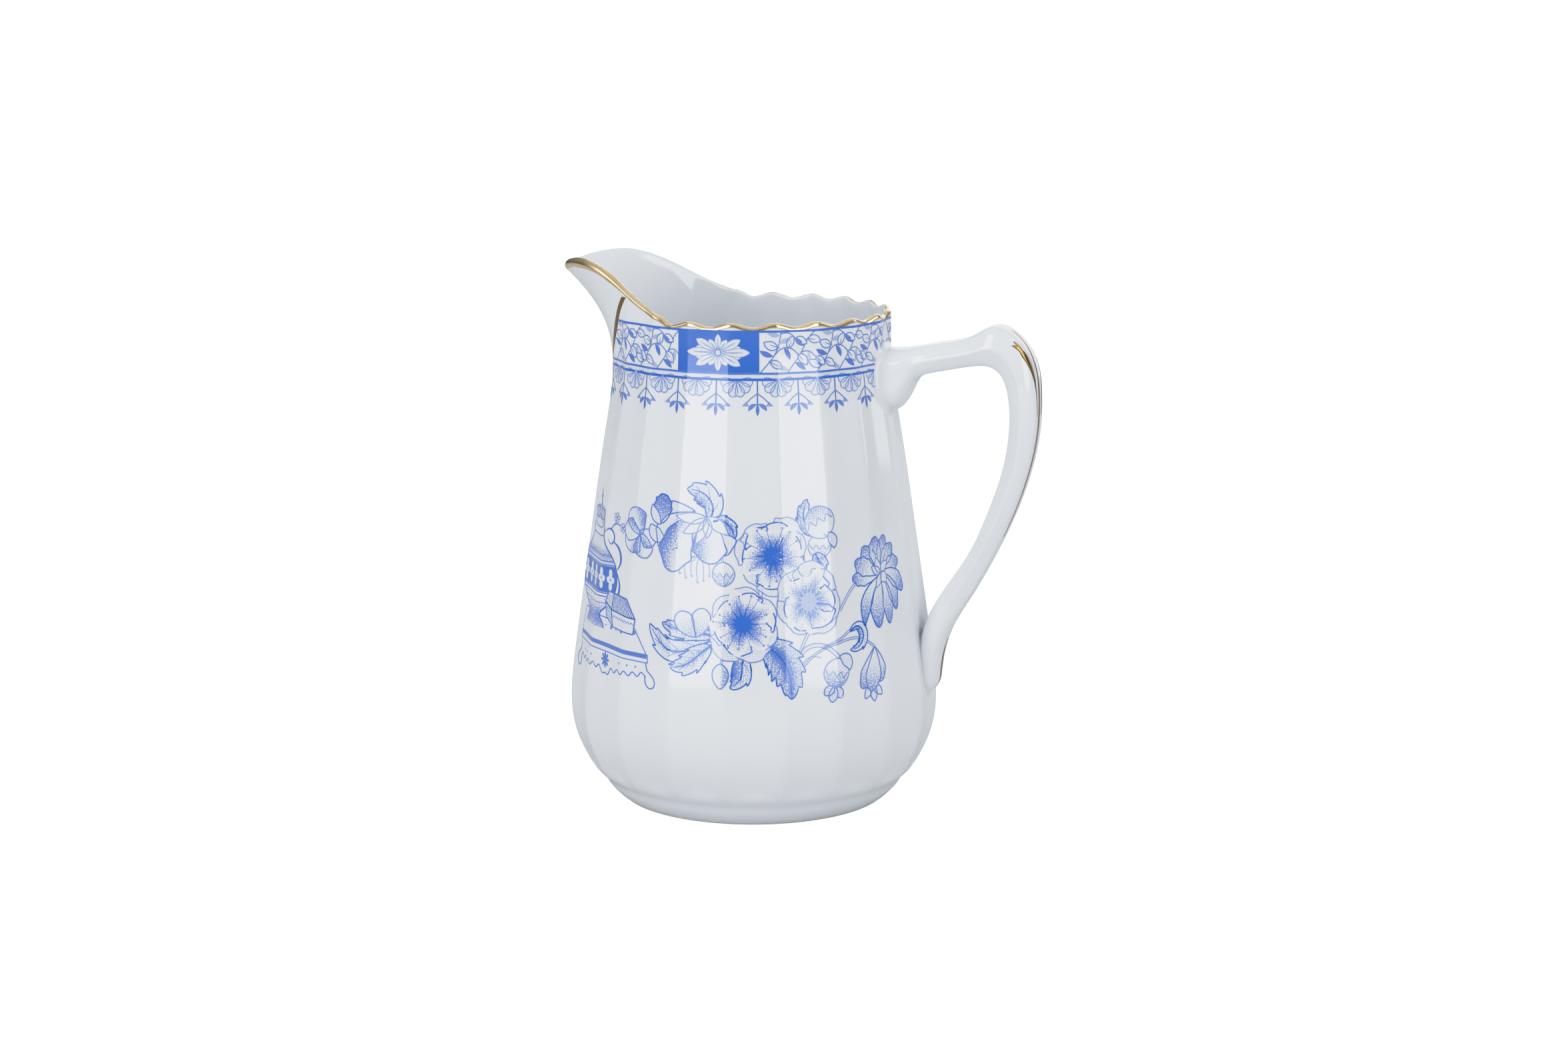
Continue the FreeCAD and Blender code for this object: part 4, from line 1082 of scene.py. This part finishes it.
def draw_vase(art):
    """Covered vase on a low stand beside a little box."""
    axis = -41.6

    # stand: top board, dark band, line and scalloped apron on round feet
    filled_box(art, [(-48.8, 37.0), (-23.4, 36.0), (-26.6, 41.2), (-46.8, 42.2)], 0.0, 0.03)
    filled_box(art, [(-48.8, 35.4), (-23.2, 34.6), (-23.2, 36.2), (-48.8, 37.0)], 1.0, 0.03)
    filled_box(art, [(-48.6, 36.3), (-23.4, 35.4), (-23.4, 36.1), (-48.6, 37.0)], 2.0, 0.9, outline=0.0)
    u = np.linspace(-48.4, -23.6, 90)
    top = np.stack([u, 35.3 - 0.03 * (u + 48.8)], 1)
    share = (u + 36.0) / 12.4
    scallops = 0.45 * np.cos(share * 2.0 * math.pi * 5.5)
    low = 31.6 + scallops + 0.7 * share ** 2 - 1.3 * np.exp(-(share / 0.11) ** 2)
    bottom = np.stack([u, low], 1)
    art.grid([top, top * 0.5 + bottom * 0.5, bottom], 0.0, 0.03)
    art.line(bottom, 0.2, 0.6, 0.75)
    for side in (-1.0, 1.0):
        knee = -36.0 + side * 12.4
        foot = [(knee, 34.9), (knee + side * 0.3, 33.2), (knee + side * 1.9, 31.8), (knee + side * 2.2, 30.3),
                (knee + side * 1.0, 29.6), (knee - side * 0.1, 30.6), (knee - side * 0.2, 32.0)]
        art.line(smooth_path(foot, 40), 0.2, 0.8, 0.75)
    for k in range(8):
        turn = math.pi * k / 4.0
        petal(art, (-36.0, 33.3), (-36.0 + 1.5 * math.cos(turn), 33.3 + 1.7 * math.sin(turn)), 0.6, 2.0,
              tone=0.9, outline=0.0, count=8)
    for place in (-45.6, -43.8, -41.2, -30.8, -28.4, -26.2):
        art.dot((place, 33.5), 0.24, 1.5, 0.8)
    for k in range(7):
        art.dot((-38.0 + 1.9 * k, 40.6 - 0.42 * k + 0.06 * k * k), 0.42 if k % 2 == 0 else 0.2, 1.5, 0.8)

    # vase: foot, body with a dark band of four-petalled rosettes, neck and lid
    profile = [(39.4, 4.6), (40.4, 4.2), (41.8, 3.0), (43.4, 4.6), (45.8, 7.4), (48.4, 8.8), (51.4, 8.7),
               (54.0, 6.9), (56.2, 4.4), (58.4, 3.5), (59.6, 3.9)]
    left, right = mirrored(profile, axis)
    middle = (left + right) / 2.0

    def belly(t, s):
        foot = 0.75 * np.exp(-((t - 0.10) / 0.12) ** 2)
        shoulder = 0.5 * np.exp(-((t - 0.72) / 0.07) ** 2)
        return foot + shoulder + 0.1 * np.abs(s)

    art.blade(middle, left, right, 2.0, 0.02, belly, 0.22, 0.8, 10)
    half_at = natural_spline([p[0] for p in profile], [p[1] for p in profile])

    def hoop(height, count):
        """Line across the vase, sagging as a hoop round it does."""
        reach = float(half_at(height))
        return [(axis + reach * s, height + 0.35 * (s * s - 1.0)) for s in np.linspace(-1.0, 1.0, count)]

    bands = ((46.0, 0.18), (46.7, 0.18), (52.4, 0.18), (53.1, 0.18), (57.8, 0.18), (44.6, 0.12), (54.2, 0.12))
    for height, width in bands:
        art.line(hoop(height, 30), width, 3.0, 0.75)
    art.grid([hoop(height, 40) for height in np.linspace(46.9, 52.2, 12)], 3.0, 0.95)
    for k in range(-2, 3):
        centre = np.array([axis + 3.35 * k, 49.4])
        for quarter in range(4):
            reach, width = (2.15, 1.25) if quarter % 2 else (1.35, 1.3)
            turn = math.radians(90.0 * quarter)
            way = np.array([math.cos(turn), math.sin(turn)])
            petal(art, centre - way * 0.25, centre + way * reach, width, 4.0 + 0.3 * (reach > 2.0), tone=0.05,
                  widest=0.66, blunt=0.45, outline=0.0, count=14)
        art.dot(centre, 0.26, 5.0, 0.8)
    for k in range(-4, 5):
        art.dot((axis + 7.2 * math.sin(k * 0.36), 45.2), 0.15, 3.0, 0.7)
        art.dot((axis + 3.2 * math.sin(k * 0.36), 58.8), 0.12, 3.0, 0.7)
    petal(art, (axis, 59.0), (axis, 62.4), 6.6, 2.4, 0.0, 0.4, 0.55, shade=one_side(0.4, 1.0, 0.1))
    for lean in (-2.4, -1.4, 0.0, 1.4, 2.4):
        tip = (axis + lean * 1.2, 63.8 - abs(lean) * 0.35)
        petal(art, (axis + lean * 0.8, 60.6), tip, 1.3, 3.2, 0.0, 0.5, 0.9, shade=0.25)
    art.line([(axis, 63.4), (axis, 66.8)], 0.22, 3.0, 0.7, (1.0, 0.3))
    art.dot((axis, 65.2), 0.4, 3.6, 0.75)

    # scrolled handle and the sprig it carries
    scrolls = ([(-37.6, 58.6), (-35.4, 59.6), (-34.0, 58.0), (-35.2, 56.6), (-36.2, 57.4)],
               [(-34.4, 57.2), (-32.2, 56.0), (-31.4, 53.6), (-32.6, 51.8)],
               [(-32.6, 51.0), (-31.6, 48.8), (-32.4, 46.2), (-34.6, 44.4)])
    for number, path in enumerate(scrolls):
        art.line(smooth_path(path, 40), 0.5 if number else 0.3, 1.0, 0.75, (0.3, 0.3))
    art.line(smooth_path([(-35.4, 59.4), (-33.8, 60.8), (-31.0, 60.4)], 20), 0.2, 1.0, 0.7)
    for centre in ((-31.0, 60.4), (-33.2, 62.2)):
        for k in range(5):
            turn = 2.0 * math.pi * k / 5.0
            tip = (centre[0] + 1.05 * math.cos(turn), centre[1] + 1.05 * math.sin(turn))
            petal(art, centre, tip, 0.7, 1.4, widest=0.65, outline=0.13, ink=0.7, count=10)
    art.line([(-33.9, 60.6), (-33.2, 62.2)], 0.16, 1.0, 0.7)

    # little box: hatched lid and two plain sides with a scalloped trim
    filled_box(art, [(-34.2, 43.6), (-26.4, 42.9), (-28.6, 46.6), (-33.4, 47.0)], 4.0, 0.05, 0.25, 0.2, 0.8)
    for k in range(1, 13):
        s = k / 13.0
        art.line([(-34.2 + 7.8 * s, 43.6 - 0.7 * s), (-33.4 + 4.8 * s, 47.0 - 0.4 * s)], 0.13, 5.0, 0.75)
    filled_box(art, [(-33.6, 40.3), (-26.9, 39.8), (-26.4, 42.9), (-34.2, 43.6)], 4.0, 0.02, 0.08, 0.2, 0.75)
    filled_box(art, [(-36.0, 42.0), (-33.6, 40.3), (-34.2, 43.6), (-36.4, 45.0)], 4.0, 0.1, 0.4, 0.2, 0.75)
    filled_box(art, [(-36.4, 45.0), (-34.2, 43.6), (-33.4, 47.0), (-35.2, 47.2)], 4.0, 0.1, 0.3, 0.2, 0.75)
    for k in range(8):
        centre = -33.3 + 0.92 * k
        level = 42.7 - 0.1 * k * 0.8
        swag = [(centre + 0.46 * s, level - 0.45 * (1.0 - s * s)) for s in np.linspace(-1.0, 1.0, 9)]
        art.line(swag, 0.13, 5.0, 0.65)


# One repeat of the border's leafy vine, in mm from its lower left corner. A leaf is its base, the angle
# it points at, its length and width, and its kind.
VINE_PITCH = 13.2
VINE_STEMS = [
    [(0.0, -0.1), (1.7, 1.6), (3.4, 3.6), (4.5, 6.0), (5.0, 8.9)],
    [(3.4, 3.6), (5.2, 4.9), (7.4, 4.8), (9.0, 3.6)],
    [(6.4, 0.0), (8.0, 1.8), (9.8, 4.0), (11.2, 6.4), (13.6, 8.7)],
    [(9.8, 4.0), (11.4, 4.2), (13.2, 3.0)],
    [(4.9, 7.8), (6.8, 7.9), (8.4, 6.8)],
]
VINE_LEAVES = [
    (1.3, 1.2, 155, 2.5, 1.35, "open"), (2.4, 2.3, -30, 2.5, 1.3, "open"), (3.2, 3.4, 158, 2.6, 0.95, "dark"),
    (4.2, 5.1, 160, 2.6, 1.5, "open"), (4.4, 5.9, 12, 2.4, 0.85, "mid"), (4.8, 7.5, 165, 2.5, 0.9, "mid"),
    (5.6, 5.0, -62, 2.4, 0.85, "dark"), (6.6, 4.9, 62, 2.3, 1.3, "open"), (9.0, 3.6, -48, 2.5, 1.4, "open"),
    (6.8, 0.5, 152, 2.5, 0.9, "mid"), (8.2, 2.0, -35, 2.4, 0.9, "dark"), (8.4, 6.8, -25, 2.3, 1.3, "open"),
    (10.6, 5.3, 140, 2.4, 0.9, "dark"), (11.4, 6.7, -12, 2.4, 1.4, "open"),
    (13.2, 3.0, -40, 2.3, 1.25, "open"), (11.6, 4.1, -105, 2.5, 0.9, "mid"),
]
LEAF_SIZE = 1.16
FIELD_LOW = 93.2
FIELD_HIGH = 101.35
FIELD_TALL = FIELD_HIGH - FIELD_LOW


def draw_vine(art, first, last):
    """Leafy vine between two places along the border."""
    count = max(1, round((last - first) / VINE_PITCH))
    stretch = (last - first) / (count * VINE_PITCH)
    for k in range(count):
        start = np.array([first + k * VINE_PITCH * stretch, FIELD_LOW])
        scale = np.array([stretch, 1.0])
        for path in VINE_STEMS:
            path = start + np.minimum(smooth_path(path, 26), (VINE_PITCH, FIELD_TALL)) * scale
            art.line(path, 0.17, 0.4, 0.7)
        for u, v, angle, length, width, kind in VINE_LEAVES:
            tip_u = u + length * math.cos(math.radians(angle))
            tip_v = v + length * math.sin(math.radians(angle))
            edge = (k == 0 and tip_u < 0.1) or (k == count - 1 and tip_u > VINE_PITCH - 0.1)
            if edge or not 0.1 < tip_v < FIELD_TALL:
                continue
            base = start + np.array([u, v]) * scale
            plain_leaf(art, base, angle, length * LEAF_SIZE, width * LEAF_SIZE, kind, 1.0)


def draw_panel(art, first, last):
    """Dark panel with a pale many-petalled rosette."""
    corners = [(first, FIELD_LOW), (last, FIELD_LOW), (last, FIELD_HIGH), (first, FIELD_HIGH)]
    filled_box(art, corners, 1.0, 1.0, outline=0.0)
    centre = np.array([(first + last) / 2.0, (FIELD_LOW + FIELD_HIGH) / 2.0])
    for offset, wide, high, width, level in ((22.5, 5.0, 2.75, 1.5, 2.0), (0.0, 6.5, 3.65, 1.75, 3.0)):
        for k in range(8):
            turn = math.radians(45.0 * k + offset)
            tip = centre + (wide * math.cos(turn), high * math.sin(turn))
            narrow = width * (0.74 + 0.26 * abs(math.cos(turn)))
            way = tip - centre
            petal(art, centre + way * 0.08, tip, narrow, level, 0.0, 0.62, 0.8, tone=0.09, outline=0.1,
                  ink=0.5, count=18)
            art.line([centre + way * 0.2, centre + way * 0.78], 0.17, level + 0.8, 0.55, (1.0, 0.5))
    art.dot(centre, 0.85, 4.4, 0.75)
    art.dot(centre, 0.5, 5.2, 0.12)


def draw_fan(art, centre):
    """Fan of outlined petals hanging under the double line."""
    root = np.array([centre, 91.95])
    for k in range(6):
        turn = math.radians(-168.0 + 31.2 * k)
        reach = 3.25 + 0.25 * math.sin(math.pi * k / 5.0)
        tip = root + reach * np.array([math.cos(turn), math.sin(turn)])
        petal(art, root, tip, 1.85, 0.6 + 0.2 * (k % 2), 0.0, 0.74, 0.6, tone=0.15, outline=0.16, ink=0.62,
              count=20)
    art.dot(root + (0.0, -0.25), 0.55, 1.6, 0.6)


def draw_pendant(art, centre):
    """Stem with two budded branches and a three-leaved tip."""
    art.line([(centre, 91.9), (centre, 86.6)], 0.2, 1.4, 0.75)
    for side in (-1.0, 1.0):
        elbow = (centre + side * 2.35, 87.2)
        art.line([(centre, 89.2), (centre + side * 1.2, 88.35), elbow], 0.17, 1.4, 0.68)
        bud = ((-0.15, 87.65), (0.75, 86.75), (-0.75, 86.7), (-0.5, 87.0))
        filled_box(art, [(elbow[0] + side * out, height) for out, height in bud], 1.4, 0.7, outline=0.0)
        petal(art, (centre, 87.1), (centre + side * 1.75, 85.75), 0.85, 1.6, side * 0.16, 0.55, 0.85,
              tone=0.85, outline=0.0, count=14)
    petal(art, (centre, 87.2), (centre, 84.75), 0.7, 2.0, 0.0, 0.5, 0.9, tone=0.9, outline=0.0, count=14)
    art.dot((centre, 89.2), 0.25, 2.0, 0.8)


def draw_border(art):
    """Near half of the border, from the seam of the lip to behind the handle."""
    seam = 180.0 + FRONT - 2.0 - float(seam_angle(FIELD_LOW))
    start = -math.radians(seam) * NECK_RADIUS
    end = -math.radians(FRONT) * NECK_RADIUS
    panel = (-15.6, 1.2)

    def seam_u(height):
        """Where the lip's seam crosses this height, along the border."""
        return -math.radians(180.0 + FRONT - 1.2 - float(seam_angle(height))) * NECK_RADIUS

    for height, width, tone in ((101.5, 0.34, 0.85), (93.15, 0.32, 0.75), (91.95, 0.38, 0.8)):
        art.line([(seam_u(height), height), (end, height)], width, 1.8, tone)
    wash = [(seam_u(92.0), 92.0), (end, 92.0), (end, 93.1), (seam_u(93.1), 93.1)]
    filled_box(art, wash, 0.0, 0.13, outline=0.0)
    art.line([(panel[0], FIELD_LOW), (panel[0], FIELD_HIGH)], 0.55, 1.8, 0.85)
    draw_panel(art, *panel)
    draw_vine(art, max(start, seam_u(98.0)) + 0.2, panel[0])
    draw_vine(art, panel[1], end)
    pitch = math.radians(360.0 / 22.0) * NECK_RADIUS
    place = math.radians(1.6) * NECK_RADIUS
    for k in range(math.ceil((start - place) / pitch), math.ceil((end + 0.1 - place) / pitch)):
        centre = place + k * pitch
        draw_pendant(art, centre)
        if centre + pitch * 0.5 < end:
            draw_fan(art, centre + pitch / 2.0)


def twice_area(a, b, c):
    """Twice the area of a flat triangle, below zero where it turns clockwise."""
    return (b[0] - a[0]) * (c[1] - a[1]) - (b[1] - a[1]) * (c[0] - a[0])


def unfolded(face, spots):
    """The quad as it is where its two halves turn the same way, otherwise those halves that have a size."""
    a, b, c, d = [spots[corner] for corner in face]
    halves = ((face[:3], twice_area(a, b, c)), ((face[0], *face[2:]), twice_area(a, c, d)))
    other = (twice_area(b, c, d), twice_area(b, d, a))
    areas = [area for _, area in halves]
    if min(*areas, *other) > TINY_AREA or max(*areas, *other) < -TINY_AREA:
        return [face]
    return [half for half, area in halves if abs(area) > TINY_AREA]


def lay_transfer(name, node, halves):
    """Lays flat drawings on the wall as one piece: halves are (drawing, function from flat to angle)."""
    points = []
    normals = []
    faces = []
    flat = []
    tones = []
    shades = []
    for art, angle_of in halves:
        spots = np.concatenate(art.points)
        phi = angle_of(spots)
        height = spots[:, 1]
        lift = LAYER_LIFT + LAYER_STEP * np.concatenate(art.levels)
        start = sum(len(p) for p in points)
        points.append(on_wall(phi, height, lift))
        normals.append(wall_normal(phi, height))
        corners = spots.tolist()
        for quad in art.faces:
            for face in unfolded(quad, corners):
                faces.append(tuple(start + v for v in face))
        flat.append(spots / DOT_PITCH)
        tones.append(np.concatenate(art.tones))
        shades.append(np.concatenate(art.shades))
    points = np.concatenate(points)
    normals = np.concatenate(normals)
    corner = np.array([(f[0], f[1], f[-2], f[-1]) for f in faces])
    turn = np.cross(points[corner[:, 2]] - points[corner[:, 0]], points[corner[:, 3]] - points[corner[:, 1]])
    backwards = np.einsum("ij,ij->i", turn, normals[corner[:, 0]]) < 0.0
    faces = [face[::-1] if back else face for face, back in zip(faces, backwards)]
    piece = mesh_piece(name, points, faces, [cobalt], "blue_print", [node])
    mesh = piece.data
    for key, values in (("tone", tones), ("shade", shades)):
        layer = mesh.attributes.new(key, "FLOAT", "POINT")
        layer.data.foreach_set("value", np.concatenate(values).astype(np.float32))
    flat = np.concatenate(flat)
    loops = np.zeros(len(mesh.loops), int)
    mesh.loops.foreach_get("vertex_index", loops)
    mesh.uv_layers.new(name="flat").data.foreach_set("uv", flat[loops].astype(np.float32).ravel())
    mesh.normals_split_custom_set_from_vertices(normals.tolist())
    return piece


def round_wall(turn):
    """Angle of flat points drawn about the middle of the decoration, on a side turned by this much."""
    return lambda spots: turn + FRONT + np.degrees(spots[:, 0] / outline_radius(spots[:, 1]))


def round_neck(side):
    return lambda spots: side * (-FRONT - np.degrees(spots[:, 0] / NECK_RADIUS))


def build_prints():
    border = Transfer()
    draw_border(border)
    lay_transfer("border_print", "border_transfer", [(border, round_neck(-1.0)), (border, round_neck(1.0))])
    spray = Transfer()
    draw_spray(spray)
    vase = Transfer()
    draw_vase(vase)
    for side, turn in (("left", 0.0), ("right", HALF_TURN)):
        lay_transfer("spray_print_" + side, "spray_transfer_" + side, [(spray, round_wall(turn))])
        lay_transfer("vase_print_" + side, "vase_transfer_" + side, [(vase, round_wall(turn))])


build_prints()


# ---------------------------------------------------------------- stage, light and camera
CAMERA_PLACE = (0.18114, -0.55749, 0.17204)
CAMERA_TURN = (78.947, 0.0, 17.376)
CAMERA_LENS = 65.2
CAMERA_SIDE = -72.0               # azimuth of the camera from the jug, degrees
LIGHT_COLOUR = (0.95, 0.98, 1.03)
FLOOR_HALF = 3.0
WHITE_LEVEL = 1.45                # brightness that is shown as full white
# Brightness as a share of the white level, and how it is shown: plain up to 0.48, then pressed together.
TONES = ((0.25, 0.3625), (0.48, 0.694), (0.60, 0.79), (0.76, 0.88), (0.88, 0.98))


def build_floor():
    mesh = bpy.data.meshes.new("floor")
    corners = [(x * FLOOR_HALF, y * FLOOR_HALF, 0.0) for x, y in ((-1, -1), (1, -1), (1, 1), (-1, 1))]
    mesh.from_pydata(corners, [], [(0, 1, 2, 3)])
    material, tree, shader = new_material("white_sweep")
    shader.inputs["Base Color"].default_value = (0.68, 0.68, 0.68, 1.0)
    shader.inputs["Roughness"].default_value = 0.9
    shader.inputs["Emission Color"].default_value = (1.0, 1.0, 1.0, 1.0)
    rays = add_node(tree, "ShaderNodeLightPath")
    glow = math_node(tree, "MULTIPLY", rays.outputs["Is Camera Ray"], 1.45)
    tree.links.new(glow, shader.inputs["Emission Strength"])
    mesh.materials.append(material)
    floor = bpy.data.objects.new("floor", mesh)
    bpy.context.scene.collection.objects.link(floor)


def soft_box(name, azimuth, distance, height, size, power, aim_height=0.06):
    """Rectangular soft light round the jug, aimed at it."""
    data = bpy.data.lights.new(name, "AREA")
    data.shape = "RECTANGLE"
    data.size, data.size_y = size
    data.energy = power
    data.color = LIGHT_COLOUR
    lamp = bpy.data.objects.new(name, data)
    turn = math.radians(azimuth)
    lamp.location = (distance * math.cos(turn), distance * math.sin(turn), height)
    back = lamp.location - type(lamp.location)((0.0, 0.0, aim_height))
    lamp.rotation_euler = back.to_track_quat("Z", "Y").to_euler()
    bpy.context.scene.collection.objects.link(lamp)


def build_world():
    """Pale studio: white where the camera looks past the jug, dimmer in reflections."""
    world = bpy.data.worlds.new("studio")
    bpy.context.scene.world = world
    world.use_nodes = True
    tree = world.node_tree
    surround = tree.nodes["Background"]
    surround.inputs["Color"].default_value = (0.93, 0.96, 1.0, 1.0)
    where = add_node(tree, "ShaderNodeTexCoord")
    parts = add_node(tree, "ShaderNodeSeparateXYZ")
    link(tree, where, "Generated", parts, "Vector")
    glow = add_node(tree, "ShaderNodeMapRange", in_1=-0.1, in_2=0.7, in_3=0.03, in_4=0.45)
    link(tree, parts, "Z", glow, "Value")
    link(tree, glow, "Result", surround, "Strength")
    seen = add_node(tree, "ShaderNodeBackground", Color=(1.0, 1.0, 1.0, 1.0), Strength=1.6)
    rays = add_node(tree, "ShaderNodeLightPath")
    mix = add_node(tree, "ShaderNodeMixShader")
    link(tree, rays, "Is Camera Ray", mix, 0)
    tree.links.new(surround.outputs[0], mix.inputs[1])
    tree.links.new(seen.outputs[0], mix.inputs[2])
    tree.links.new(mix.outputs[0], tree.nodes["World Output"].inputs["Surface"])


def build_camera():
    data = bpy.data.cameras.new("camera")
    data.lens = CAMERA_LENS
    data.sensor_width = 36.0
    data.clip_start = 0.01
    camera = bpy.data.objects.new("camera", data)
    camera.location = CAMERA_PLACE
    camera.rotation_euler = [math.radians(a) for a in CAMERA_TURN]
    bpy.context.scene.collection.objects.link(camera)
    bpy.context.scene.camera = camera


def build_lights():
    """Two soft boxes in front that the flutes mirror as bright strips, and dimmer ones round and above."""
    soft_box("box_left", CAMERA_SIDE - 42.0, 0.9, 0.44, (0.36, 0.90), 4.3)
    soft_box("box_right", CAMERA_SIDE + 38.0, 0.85, 0.44, (0.26, 0.90), 3.2)
    soft_box("fill_left", CAMERA_SIDE - 88.0, 1.1, 0.5, (0.22, 0.9), 1.1)
    soft_box("fill_right", CAMERA_SIDE + 102.0, 1.1, 0.5, (0.30, 0.9), 1.7)
    soft_box("box_top", CAMERA_SIDE + 180.0, 0.25, 1.1, (1.2, 1.2), 1.3)
    soft_box("fill_back", CAMERA_SIDE + 165.0, 1.1, 0.4, (0.9, 0.9), 3.0)


def set_tones():
    """Plain colours, with the brightest tones pressed together so that white porcelain keeps its shape."""
    view = bpy.context.scene.view_settings
    view.view_transform = "Standard"
    view.use_curve_mapping = True
    view.curve_mapping.white_level = (WHITE_LEVEL, WHITE_LEVEL, WHITE_LEVEL)
    curve = view.curve_mapping.curves[3]
    curve.points[0].location = (0.0, 0.0)
    curve.points[1].location = (1.0, 1.0)
    for share, shown in TONES:
        curve.points.new(share, shown)
    view.curve_mapping.update()


build_floor()
build_world()
build_camera()
build_lights()
set_tones()
